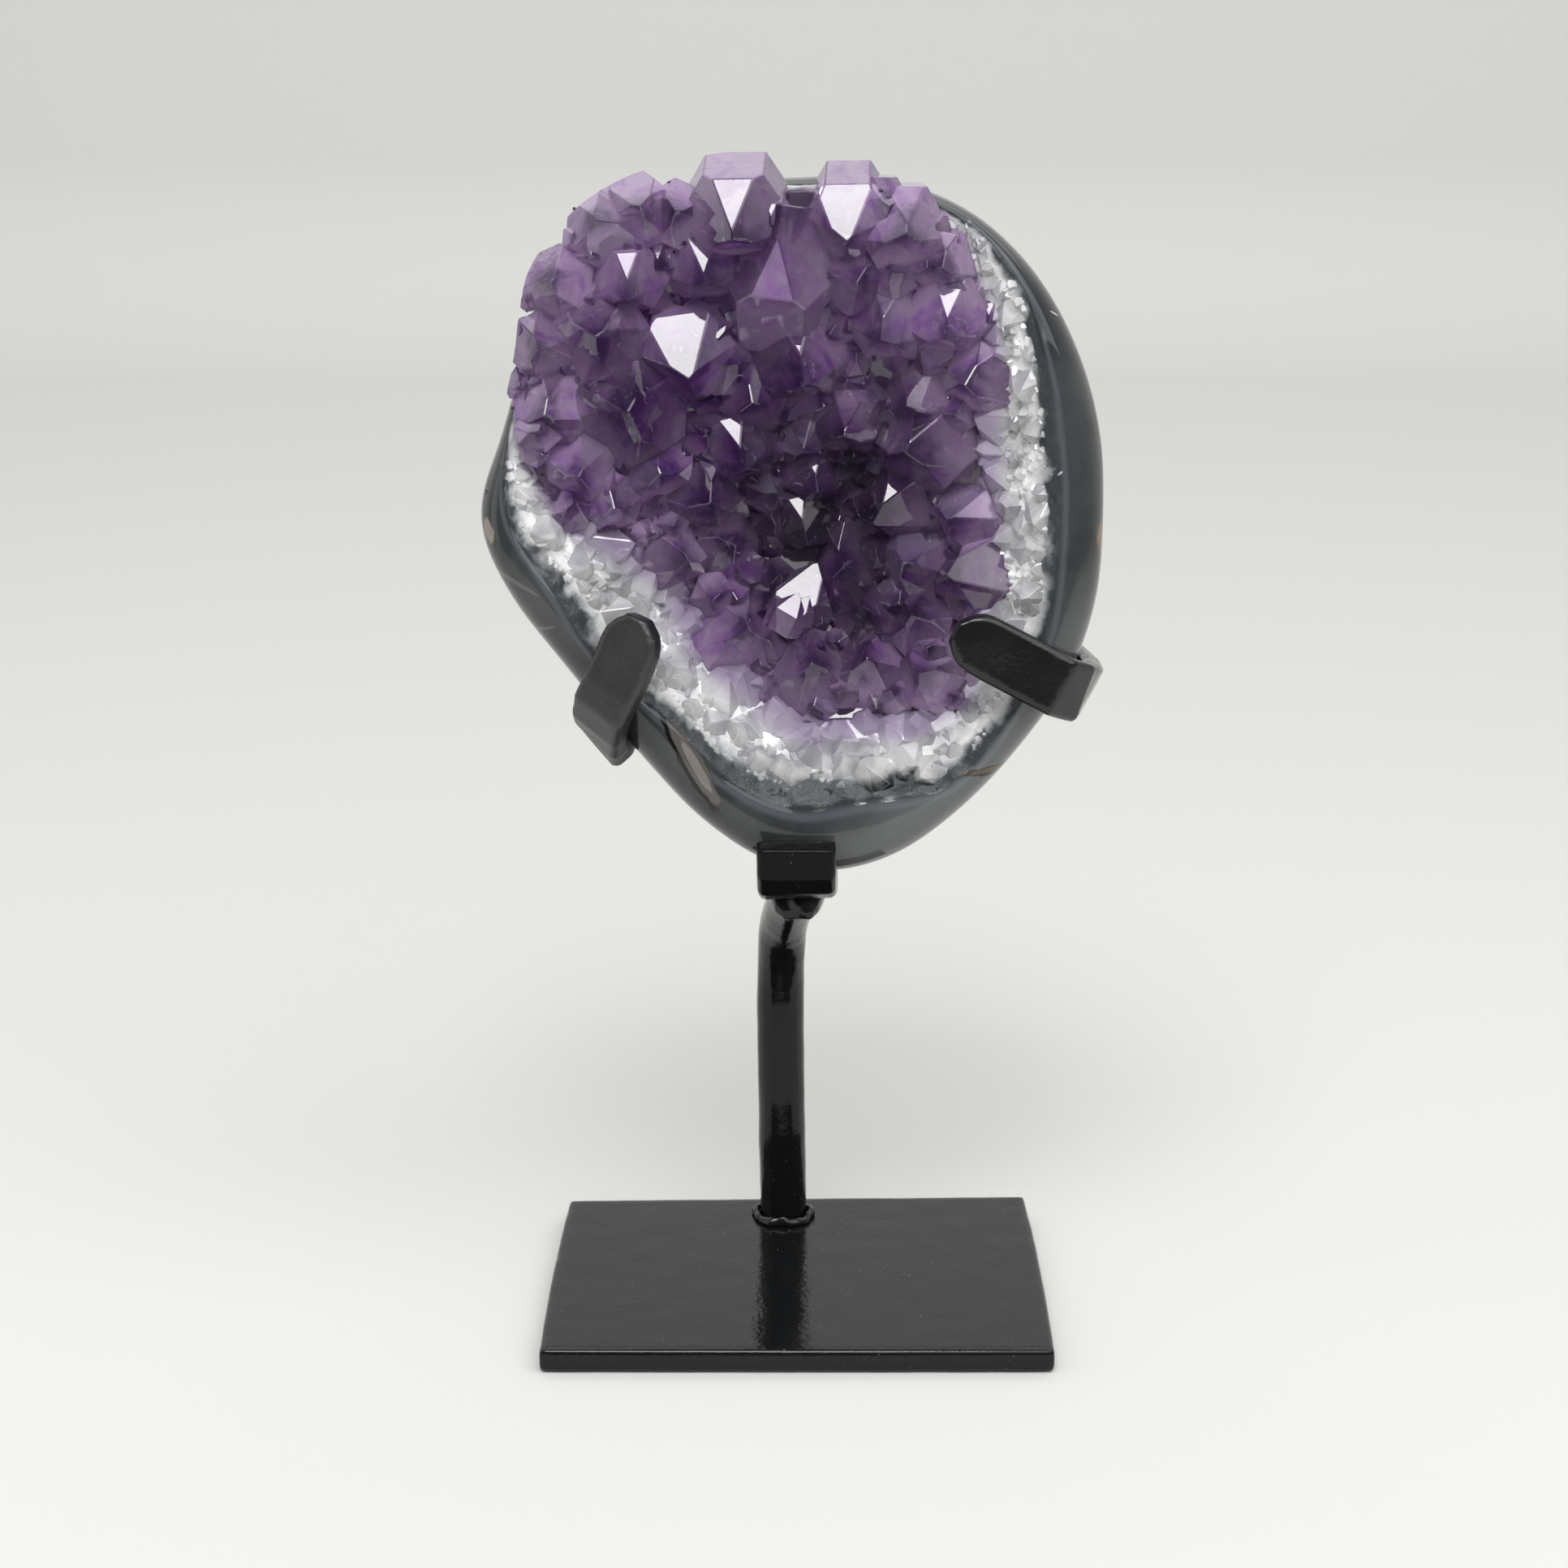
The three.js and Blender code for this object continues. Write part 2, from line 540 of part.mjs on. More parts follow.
/** A lumpy ring of weld metal round the post's foot, open in the middle for the post. */
function footWeld() {
  const { sides } = FOOT_WELD;
  const inner = POST.radius + GAP + 0.1;
  const floor = PLATE.thick + GAP;
  const rings = Array.from({ length: sides }, (_, i) => {
    const angle = (i / sides) * 2 * Math.PI;
    const spread = FOOT_WELD.spread + 0.3 * Math.sin(5 * angle) + 0.2 * Math.sin(9 * angle + 1);
    const rise = FOOT_WELD.rise + 0.35 * Math.sin(4 * angle + 2) + 0.2 * Math.sin(11 * angle);
    const slope = [[0, 0], [1, 0], [0.8, 0.55], [0.35, 0.95], [0, 1]];
    return slope.map(([across, up]) => [across * spread, up * rise]).map(([r, z]) => new THREE.Vector3(
      POST_FOOT[0] + (inner + r) * Math.cos(angle),
      POST_FOOT[1] + (inner + r) * Math.sin(angle),
      floor + z,
    ));
  });
  const count = rings[0].length;
  const index = [];
  rings.forEach((_, i) => {
    for (let j = 0; j < count; j++) {
      const [a, b] = [i * count + j, i * count + ((j + 1) % count)];
      const [c, d] = [((i + 1) % sides) * count + j, ((i + 1) % sides) * count + ((j + 1) % count)];
      index.push(a, b, d, a, d, c);
    }
  });
  const geometry = new THREE.BufferGeometry().setFromPoints(rings.flat());
  geometry.setIndex(index);
  geometry.computeVertexNormals();
  return facedOut(geometry);
}

/** A lump of weld metal, uneven all over. */
function weldLump({ size, at, tilt }) {
  const ball = new THREE.IcosahedronGeometry(1, 2);
  const lump = mergeVertices(ball.deleteAttribute('normal').deleteAttribute('uv'));
  const p = lump.attributes.position;
  for (let i = 0; i < p.count; i++) {
    const [x, y, z] = [p.getX(i), p.getY(i), p.getZ(i)];
    const swell = 1 + 0.07 * Math.sin(6 * x + 4 * z) + 0.06 * Math.sin(7 * y - 5 * z);
    p.setXYZ(i, x * swell, y * swell, z * swell);
  }
  lump.scale(...size);
  lump.rotateX(tilt);
  lump.translate(...at);
  return facedOut(lump);
}

function named(name, geometry, look) {
  const mesh = new THREE.Mesh(geometry, new THREE.MeshStandardMaterial(look));
  mesh.name = name;
  return mesh;
}

const stand = new THREE.Group();
const held = new THREE.Group();
held.position.set(...STONE_AT);
held.rotation.x = Math.PI / 2 - LEAN_BACK;
held.updateMatrix();

const stone = toManifold(stoneBody());
const cradle = flatBar(cradleRoute, BAR.cradleWidth, BAR.thick, false);
const rightArm = flatBar(rightArmRoute, BAR.armWidth, BAR.thick, true);
const leftArm = flatBar(leftArmRoute, BAR.armWidth, BAR.thick, true);
const roomFor = (route, width, roundEnd) =>
  toManifold(flatBar(route, width + BAR_ROOM, BAR.thick + BAR_ROOM, roundEnd));
const armRooms = [rightArmRoute, leftArmRoute].map((route) => roomFor(route, BAR.armWidth, true));
const crust = amethystCrust(stone, armRooms);

// The post stops just under the cradle, and the weld fills round both
const cradleRoom = roomFor(cradleRoute, BAR.cradleWidth, false).transform(held.matrix.toArray());
const post = mainBody(toManifold(postGeometry(POST.radius, PLATE.thick + GAP)).subtract(cradleRoom));
const postRoom = toManifold(postGeometry(POST.radius + GAP, PLATE.thick));
const headWeld = mainBody(toManifold(weldLump(HEAD_WELD)).subtract(postRoom).subtract(cradleRoom));

stand.add(
  named('base_plate', plateGeometry(), blackEnamel),
  named('foot_weld', footWeld(), blackEnamel),
  named('post', toGeometry(post), blackEnamel),
  named('head_weld', toGeometry(headWeld), blackEnamel),
);
held.add(
  named('cradle', cradle, blackEnamel),
  named('right_arm', rightArm, blackEnamel),
  named('left_arm', leftArm, blackEnamel),
  named('geode_body', toGeometry(stone), rindLook),
  named('amethyst_crust', toGeometry(crust), amethystLook),
);

const model = new THREE.Group();
model.add(stand, held);

export default model;
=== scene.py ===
"""An amethyst geode on a black steel claw stand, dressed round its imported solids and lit."""

import math
import random

import bpy
from bpy.props import FloatProperty, FloatVectorProperty, IntProperty, PointerProperty
from mathutils import Matrix, Quaternion, Vector, noise


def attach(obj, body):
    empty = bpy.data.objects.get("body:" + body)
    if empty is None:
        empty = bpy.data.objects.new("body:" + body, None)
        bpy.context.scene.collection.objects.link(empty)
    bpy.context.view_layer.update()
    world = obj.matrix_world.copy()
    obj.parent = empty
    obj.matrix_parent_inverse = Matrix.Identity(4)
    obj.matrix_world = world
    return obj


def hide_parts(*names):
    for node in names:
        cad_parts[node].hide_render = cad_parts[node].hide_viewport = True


bl_info = {
    "name": "Amethyst Cluster on Stand",
    "version": (1, 0, 0),
    "blender": (4, 5, 0),
    "location": "View3D > Sidebar > Amethyst",
    "description": "Dresses an amethyst geode and its claw stand, and sets the stage round them",
    "category": "Add Mesh",
}

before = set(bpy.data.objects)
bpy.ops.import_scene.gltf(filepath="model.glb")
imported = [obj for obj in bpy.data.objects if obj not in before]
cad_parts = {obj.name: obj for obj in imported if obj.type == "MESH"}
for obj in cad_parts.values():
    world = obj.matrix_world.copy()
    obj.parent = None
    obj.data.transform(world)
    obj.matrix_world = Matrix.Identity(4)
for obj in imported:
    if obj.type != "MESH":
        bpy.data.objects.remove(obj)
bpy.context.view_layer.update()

# The stone's own frame, in millimetres: u to the right, v up its face, n out to the viewer
MM = 0.001
STONE_AT = Vector((-1, -13, 158))
LEAN_BACK = math.radians(6)
TO_ROW = (
    Matrix.Scale(MM, 4)
    @ Matrix.Translation(STONE_AT)
    @ Matrix.Rotation(math.pi / 2 - LEAN_BACK, 4, "X")
)
TO_STONE = TO_ROW.inverted()

# The stone every 15 degrees, from the right and round over the top, as its solid has it
OUTLINE = [
    57.4, 58.7, 60.5, 62.8, 64.2, 63.4, 61.2, 62.6, 65.2, 63.6, 57.2, 55.4,
    57.8, 54.1, 50.6, 50.4, 53.2, 59.7, 66.2, 66.6, 63, 60.2, 59.4, 58.4,
]
RIND_EDGE = [
    48.4, 49.5, 53, 58.5, 62, 61.6, 59.8, 61.2, 63.8, 62, 55.8, 53.6,
    51.5, 45.5, 43.7, 42.8, 43.2, 48.8, 52.8, 53.4, 56.8, 54.7, 52, 49.6,
]
CRUST_EDGE = [
    35, 36, 40.5, 49.5, 57, 59.6, 58.4, 59.8, 62.2, 60.6, 54.6, 50,
    40, 28, 22.5, 26, 29, 31, 37.5, 39, 43.5, 45, 39, 35,
]
RIM_SETBACK = [0, 0, 0, 1, 3, 6, 8, 9, 10, 10, 9, 6, 2, 0, 0, 0, 0, 0, 0, 0, 0, 0, 0, 0]
CRYSTALS_PROUD = [0, 0, 0, 1, 2, 3, 5, 4.5, 3, 2, 1, 0.5, 0.5, 0, 0, 0, 0, 0, 0, 0, 0, 0, 0, 0]
WALL_POWER = [
    2.4, 2.2, 1.9, 1.6, 1.3, 1.1, 1, 0.9, 0.85, 0.85, 0.95, 1.1,
    1.3, 1.5, 1.6, 1.7, 1.7, 1.7, 1.8, 1.9, 2.1, 2.3, 2.4, 2.4,
]
RIM_DEEP = 9
HOLLOW_DEEP = 27
BACK_DEEP = 49
BED_THICK = 3.6
BED_EDGE = 1
BED_RISE = 0.5

# The large crystals: u, v, radius, lean in u, lean in v, reach above the bed they grow from
LARGE_CRYSTALS = [
    (-1.5, 46, 12.8, 0, 1.15, 16), (-19.2, 31.8, 10, 0.05, 0.1, 15),
    (-31, 20.4, 13.3, -0.1, 0, 16), (-34.8, 33, 10.2, -0.2, 0.1, 14),
    (1.8, 29.4, 12.4, 0.1, 0.1, 13), (-10, 56.5, 9.3, -0.05, 0.5, 15),
    (10.4, 54.4, 8.6, 0, 0.1, 11), (19.6, 52, 9, 0.15, 0.1, 11),
    (28.4, 36.8, 9.3, 0, -0.1, 10), (17.6, 35.4, 8.8, -0.1, -0.2, 10),
    (33.6, 25.6, 8.8, -0.15, -0.05, 9), (23.6, 22.4, 7.5, -0.25, -0.1, 9),
    (25.6, 13.4, 10.8, -0.35, 0, 13), (-10.2, 12.6, 9.3, 0.1, -0.05, 11),
    (19.4, 1.4, 9, -0.2, 0.05, 10), (2, -2.4, 8.6, 0, 0.15, 9),
    (33.4, -0.9, 7.9, -0.45, 0.05, 9), (34, -11.4, 8.8, -0.45, 0.1, 10),
    (-11, -22.8, 9, 0.2, 0.2, 9), (3.4, -30.4, 8.8, 0.05, 0.25, 10),
    (14.6, -29.6, 8.4, -0.05, 0.25, 10), (-41.8, 42.6, 7.5, -0.25, 0.1, 9),
    (-34.2, 52.6, 7.7, -0.15, 0.25, 9), (-27, 55, 7.5, -0.05, 0.3, 9),
    (-29, 44, 7.9, -0.1, 0.1, 11), (-44.6, 31.2, 7, -0.35, 0, 8),
    (-43.4, 19.8, 7.9, -0.35, -0.05, 9), (-38.6, 9.6, 7.9, -0.2, -0.2, 9),
    (-19.6, 54.4, 7, -0.1, 0.3, 9), (-15.7, 46.8, 8.4, 0.05, 0.1, 11),
    (-17.8, 3.6, 9.7, 0.1, -0.1, 10),
    (-22.4, -8, 7.9, 0.25, 0.05, 9), (-13, -6.4, 8.4, 0.1, 0.1, 9),
    (11, -11.4, 8.1, -0.05, 0.15, 9), (1, -18, 7.4, 0.05, 0.25, 10),
    (13.8, -20.2, 7, 0, 0.25, 9), (23.6, -9.8, 8.1, -0.25, 0.1, 9),
    (25.6, -30.6, 7.7, -0.15, 0.2, 8), (10.2, 17.4, 7.9, -0.05, -0.1, 10),
    (-7.2, 22, 7.9, 0, 0.05, 10), (4.4, 7.8, 7.5, 0, 0, 9),
    (11.2, 44.4, 8.1, 0.1, 0, 10), (26.8, 46.4, 7, 0.1, 0, 8),
    (-26, 9.2, 8.4, 0.05, -0.1, 10), (-33.2, 3.4, 7.2, -0.05, -0.2, 8),
    (24.6, -20.4, 7.9, -0.2, 0.2, 9),
]

# The tall pointed crystal, and how far its first end face is turned from the viewer
TALL_CRYSTAL = (-1.5, 46)
TALL_TURN = math.radians(50)

# The large crystals with an end face that mirrors the softbox, and those where it is a broad one
LIT_CRYSTALS = {
    (-10, 56.5), (-15.7, 46.8), (-19.2, 31.8), (1.8, 29.4), (-10.2, 12.6), (4.4, 7.8), (2, -2.4),
    (19.4, 1.4), (1, -18), (10.4, 54.4), (28.4, 36.8), (-29, 44),
}
BROADLY_LIT = {(-19.2, 31.8), (10.4, 54.4), (1, -18)}

# In the stone's frame: half-way between the viewer and the softbox, and towards the viewer
TO_LIGHT = Vector((-0.06, 0.45, 0.89)).normalized()
TO_VIEWER = Vector((0, 0.1, 0.99)).normalized()

# The radius above which a crystal has one side crystal in place of two
BROAD = 10

# The grid of small crystals, in millimetres
GRID_REACH = 70.0
GRID_SPACING = 5.2
GRID_SHAKE = 1.6

# How many chunks and grains are tried in the quartz band: fewer stay where it is narrow
CHUNKS = 340
GRAINS = 1500

# How many specks there are, and how high above the bed they may sit, in millimetres
SPECKS = 90
GROOVE_TOP = 4

# The way from the middle to the palest stretch of the rim
PALE_TOP = math.radians(58)

# How many radii below its tip a crystal's root lies
ROOT = 1.5

# Quartz: the angle between a crystal's axis and the normals of its end faces
END_FACE_ANGLE = math.radians(51.8)


def around(values, angle):
    """A value from a list that goes round the stone, smoothed between its steps."""
    turn = math.degrees(angle) % 360 / 15
    i = int(turn)
    f = turn - i
    a, b, c, d = (values[(i + k) % len(values)] for k in (-1, 0, 1, 2))
    return b + 0.5 * f * (c - a + f * (2 * a - 5 * b + 4 * c - d + f * (3 * (b - c) + d - a)))


def hollow_depth(u, v):
    """How far the floor of the hollow lies behind the face."""
    angle = math.atan2(v, u)
    share = min(1, math.hypot(u, v) / around(RIND_EDGE, angle))
    setback = around(RIM_SETBACK, angle)
    return setback + (HOLLOW_DEEP - setback) * (1 - share ** around(WALL_POWER, angle))


def back_depth(u, v):
    """How far the stone's back lies behind the face."""
    angle = math.atan2(v, u)
    share = min(1, math.hypot(u, v) / around(OUTLINE, angle))
    start = around(RIM_SETBACK, angle) + RIM_DEEP
    deep = BACK_DEEP * (1 - 0.1 * v / OUTLINE[0]) + RIM_DEEP
    return start + (deep - start) * (1 - share ** 2.5) ** 0.45


def bed_point(u, v):
    """The top of the bed that the crystals grow from."""
    angle = math.atan2(v, u)
    inside = 1 - min(1, math.hypot(u, v) / around(CRUST_EDGE, angle))
    edge = BED_EDGE + BED_RISE * around(RIM_SETBACK, angle)
    thick = edge + (BED_THICK - edge) * min(1, inside * 3)
    return Vector((u, v, thick - hollow_depth(u, v)))


def bed_normal(u, v):
    step = 2
    slope_u = (bed_point(u + step, v).z - bed_point(u - step, v).z) / (2 * step)
    slope_v = (bed_point(u, v + step).z - bed_point(u, v - step).z) / (2 * step)
    return Vector((-slope_u, -slope_v, 1)).normalized()


# Small tools

def deselect():
    if bpy.context.object and bpy.context.object.mode != "OBJECT":
        bpy.ops.object.mode_set(mode="OBJECT")
    bpy.ops.object.select_all(action="DESELECT")


def pick(*objects):
    """Selects these objects alone, the first one active."""
    deselect()
    for one in objects:
        one.select_set(True)
    bpy.context.view_layer.objects.active = objects[0]


def apply(piece, kind, **values):
    """Adds one modifier with these values and applies it."""
    modifier = piece.modifiers.new(kind.title(), kind)
    for key, value in values.items():
        setattr(modifier, key, value)
    pick(piece)
    bpy.ops.object.modifier_apply(modifier=modifier.name)


def joined(objects, name):
    pick(*objects)
    if len(objects) > 1:
        bpy.ops.object.join()
    piece = bpy.context.object
    piece.name = piece.data.name = name
    return piece


def copy_of(source, name):
    """A new object with its own copy of a mesh, at the origin."""
    piece = bpy.data.objects.new(name, source.data.copy())
    piece.data.name = name
    bpy.context.scene.collection.objects.link(piece)
    return piece


def cad_copy(node, name):
    """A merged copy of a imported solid, whose triangles are loose."""
    piece = copy_of(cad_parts[node], name)
    piece.data.materials.clear()
    pick(piece)
    bpy.ops.object.mode_set(mode="EDIT")
    bpy.ops.mesh.select_all(action="SELECT")
    bpy.ops.mesh.remove_doubles(threshold=0.00001)
    bpy.ops.object.mode_set(mode="OBJECT")
    return piece


def finish_piece(piece, material, slot, *nodes, smooth=None):
    """Dresses a piece and puts it on the stand's one body, in place of its solids."""
    piece.data.materials.clear()
    piece.data.materials.append(material)
    pick(piece)
    if smooth is None:
        bpy.ops.object.shade_flat()
    else:
        bpy.ops.object.shade_smooth_by_angle(angle=math.radians(smooth))
    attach(piece, "root")
    if nodes:
        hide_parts(*nodes)
    return piece


def move_points(piece, shift):
    """Moves each point along its normal by shift(point, normal), in metres."""
    normals = [v.normal.copy() for v in piece.data.vertices]
    for vertex, normal in zip(piece.data.vertices, normals):
        vertex.co += normal * shift(vertex.co, normal)
    piece.data.update()


def store(piece, name, domain, values):
    """Keeps numbers on the points, corners or faces of a piece, for its material to read."""
    piece.data.attributes.new(name, "FLOAT", domain).data.foreach_set("value", values)


def paint(piece, name, value):
    store(piece, name, "POINT", [value(v.co) for v in piece.data.vertices])


# Material tools

class Nodes:
    """The nodes of a material or of an effect, added in a line."""

    def __init__(self, tree):
        self.tree = tree
        self.nodes = tree.nodes
        self.links = tree.links

    def add(self, kind, inputs=None, **values):
        node = self.nodes.new(kind)
        for key, value in values.items():
            setattr(node, key, value)
        for key, value in (inputs or {}).items():
            self.feed(node, key, value)
        return node

    def feed(self, node, key, value):
        socket = node.inputs[key]
        if isinstance(value, bpy.types.NodeSocket):
            self.links.new(value, socket)
        else:
            socket.default_value = value

    def noise(self, scale, detail=3, roughness=0.5, distortion=0):
        node = self.add("ShaderNodeTexNoise", {
            "Vector": self.place, "Scale": scale, "Detail": detail,
            "Roughness": roughness, "Distortion": distortion,
        })
        return node.outputs["Fac"]

    def cells(self, scale):
        """How far a point lies from the middle of its cell."""
        return self.add("ShaderNodeTexVoronoi", {"Vector": self.place, "Scale": scale}).outputs["Distance"]

    def attribute(self, name):
        return self.add("ShaderNodeAttribute", attribute_name=name).outputs["Fac"]

    def math(self, operation, a, b=0.5, clamp=False):
        node = self.add("ShaderNodeMath", {0: a, 1: b}, operation=operation, use_clamp=clamp)
        return node.outputs[0]

    def steps(self, value, low, high, to_low=0.0, to_high=1.0):
        node = self.add("ShaderNodeMapRange", {
            "Value": value, "From Min": low, "From Max": high, "To Min": to_low, "To Max": to_high,
        }, interpolation_type="SMOOTHSTEP")
        return node.outputs["Result"]

    def mix(self, share, a, b, blend="MIX"):
        node = self.add("ShaderNodeMix", data_type="RGBA", blend_type=blend, clamp_factor=True)
        for key, value in ((0, share), (6, a), (7, b)):
            self.feed(node, key, rgba(value) if key else value)
        return node.outputs[2]

    def effect(self, make, **values):
        """Puts a shared effect here, which is built the first time, and returns its outputs."""
        tree = bpy.data.node_groups.get(make.__name__) or make(make.__name__)
        inputs = {key.replace("_", " "): value for key, value in values.items()}
        return self.add("ShaderNodeGroup", {"Place": self.place, **inputs}, node_tree=tree).outputs


class Material(Nodes):
    """A material round one Principled shader."""

    def __init__(self, name):
        self.material = bpy.data.materials.new(name)
        self.material.use_nodes = True
        super().__init__(self.material.node_tree)
        self.surface = self.nodes["Principled BSDF"]
        self.output = self.nodes["Material Output"]
        self.place = self.add("ShaderNodeTexCoord").outputs["Object"]

    def bump(self, height, distance, strength=1.0):
        inputs = {"Height": height, "Distance": distance, "Strength": strength}
        return self.add("ShaderNodeBump", inputs).outputs["Normal"]

    def lens(self, at, size, degrees):
        """A mask that is 1 in an ellipsoid, placed and sized in the stone's frame and turned on its face."""
        turn = Matrix.Rotation(math.radians(degrees), 4, "Z")
        spot = TO_ROW @ Matrix.Translation(at) @ turn
        node = self.add("ShaderNodeMapping", {
            "Vector": self.place, "Location": spot.translation, "Rotation": spot.to_euler(),
            "Scale": [one * MM for one in size],
        }, vector_type="TEXTURE")
        span = self.add("ShaderNodeVectorMath", {0: node.outputs[0]}, operation="LENGTH").outputs["Value"]
        rag = self.math("MULTIPLY", self.math("SUBTRACT", self.noise(350, 3), 0.5), 0.5)
        return self.steps(self.math("ADD", span, rag), 1.0, 0.85)

    def set(self, **values):
        for key, value in values.items():
            self.feed(self.surface, key.replace("_", " "), value)
        return self.material


class Effect(Nodes):
    """An effect that materials share: a node group with named inputs and outputs."""

    def __init__(self, name, inputs, outputs):
        super().__init__(bpy.data.node_groups.new(name, "ShaderNodeTree"))
        for way, sockets in (("INPUT", {"Place": "Vector", **inputs}), ("OUTPUT", outputs)):
            for socket, kind in sockets.items():
                self.tree.interface.new_socket(name=socket, in_out=way, socket_type="NodeSocket" + kind)
        self.given = self.add("NodeGroupInput").outputs
        self.place = self.given["Place"]

    def give(self, **values):
        result = self.add("NodeGroupOutput")
        for key, value in values.items():
            self.feed(result, key, value)
        return self.tree


def rgba(value):
    """A colour of three numbers with its alpha, and anything else as it is."""
    if isinstance(value, bpy.types.NodeSocket) or len(value) == 4:
        return value
    return (*value, 1)


# Effects that materials share

def enamel_skin(name):
    """Enamel with orange peel, fine grit, patches of dull bloom, and dust."""
    s = Effect(
        name, {"Paint": "Color", "Roughness": "Float", "Dust": "Float", "Grit": "Float"},
        {"Colour": "Color", "Roughness": "Float", "Height": "Float"},
    )
    bloom = s.steps(s.noise(60, 4), 0.45, 0.7, 1.0, 1.6)
    speck = s.steps(s.cells(620), 0.10, 0.04)
    rare = s.steps(s.noise(140, 2), 0.50, 0.60)
    dust = s.math("MULTIPLY", s.math("MULTIPLY", speck, rare), s.given["Dust"])
    rough = s.math("MULTIPLY", s.given["Roughness"], bloom)
    grit = s.math("MULTIPLY", s.noise(2400, 3, 0.6), s.given["Grit"])
    return s.give(
        Colour=s.mix(dust, s.given["Paint"], (0.20, 0.20, 0.20)),
        Roughness=s.math("ADD", rough, s.math("MULTIPLY", dust, 0.4)),
        Height=s.math("ADD", s.noise(900, 2), grit),
    )


def quartz_colour(name):
    """Blue-grey by the rind, then white and grey grains, then lilac towards the amethyst."""
    s = Effect(name, {"Band": "Float"}, {"Colour": "Color"})
    band = s.given["Band"]
    cloud = s.noise(130, 4, 0.55, 0.5)
    white = s.mix(s.steps(cloud, 0.3, 0.7), (0.52, 0.53, 0.54), (0.97, 0.97, 0.975))
    edge = s.math("ADD", band, s.math("MULTIPLY", s.math("SUBTRACT", cloud, 0.5), 0.7))
    height = s.add("ShaderNodeSeparateXYZ", {0: s.place}).outputs["Z"]
    edge = s.math("ADD", edge, s.math("MULTIPLY", s.steps(height, 0.128, 0.108), 0.16))
    blue = s.mix(s.noise(420, 4, 0.7), (0.012, 0.016, 0.019), (0.046, 0.055, 0.061))
    colour = s.mix(s.steps(edge, -0.30, -0.08), white, blue)
    violet = s.mix(s.noise(160, 3), (0.34, 0.22, 0.44), (0.70, 0.62, 0.78))
    return s.give(Colour=s.mix(s.steps(band, -0.66, -1.05), colour, violet))


def facet_painted_light(name):
    """Painted light on crystal faces: a random painted shade that darkens some faces and lightens others,
    and a painted grey sheen, standing in for a reflection, on the lightest.
    """
    s = Effect(
        name, {"Colour": "Color", "Facet": "Float", "Dark": "Float", "Light": "Float"}, {"Colour": "Color"},
    )
    facet = s.given["Facet"]
    # Painted shade and highlight: each face darkened or lightened by its random value
    tone = s.add("ShaderNodeMapRange", {
        "Value": facet, "To Min": s.given["Dark"], "To Max": s.given["Light"],
    }).outputs["Result"]
    colour = s.mix(1.0, s.given["Colour"], tone, blend="MULTIPLY")
    # Painted reflection: a grey sheen on the lightest faces
    sheen = s.steps(facet, 0.76, 0.82, 0, 0.5)
    return s.give(Colour=s.mix(sheen, colour, (0.22, 0.205, 0.28)))


# Settings

class StandSettings(bpy.types.PropertyGroup):
    paint: FloatVectorProperty(
        name="Enamel", description="Colour of the enamel on the steel",
        default=(0.006, 0.0065, 0.007), subtype="COLOR", min=0, max=1,
    )
    voxel: FloatProperty(
        name="Detail", description="Size of the mesh's steps on the bars",
        default=0.0005, unit="LENGTH", min=0.0002, max=0.002,
    )
    waviness: FloatProperty(
        name="Waviness", description="How uneven the forged and painted bars are",
        default=0.00012, unit="LENGTH", min=0, max=0.001,
    )


class StoneSettings(bpy.types.PropertyGroup):
    agate: FloatVectorProperty(
        name="Agate", description="Colour of the polished rind",
        default=(0.026, 0.028, 0.030), subtype="COLOR", min=0, max=1,
    )
    pale: FloatVectorProperty(
        name="Pale amethyst", description="Colour of the crystals near the rim and at their roots",
        default=(0.54, 0.385, 0.60), subtype="COLOR", min=0, max=1,
    )
    deep: FloatVectorProperty(
        name="Deep amethyst", description="Colour of the crystals' tips and in the hollow",
        default=(0.115, 0.042, 0.17), subtype="COLOR", min=0, max=1,
    )
    absorb: FloatVectorProperty(
        name="Absorption", description="Colour that is left of light inside the crystals",
        default=(0.60, 0.32, 0.70), subtype="COLOR", min=0, max=1,
    )
    density: FloatProperty(
        name="Absorption density", description="How soon light takes the absorption colour, for each metre",
        default=60, min=0, max=1000,
    )
    seed: IntProperty(name="Seed", description="Start of the random draws", default=41, min=0)


class StageSettings(bpy.types.PropertyGroup):
    floor: FloatVectorProperty(
        name="Floor", description="Colour of the floor and backdrop",
        default=(0.67, 0.67, 0.65), subtype="COLOR", min=0, max=1,
    )
    key: FloatProperty(
        name="Key light", description="Power of the softbox", default=4, min=0, unit="POWER",
    )
    fill: FloatProperty(
        name="Ceiling light", description="Power of the light above", default=7, min=0, unit="POWER",
    )


class AmethystSettings(bpy.types.PropertyGroup):
    stand: PointerProperty(type=StandSettings)
    stone: PointerProperty(type=StoneSettings)
    stage: PointerProperty(type=StageSettings)


# Materials

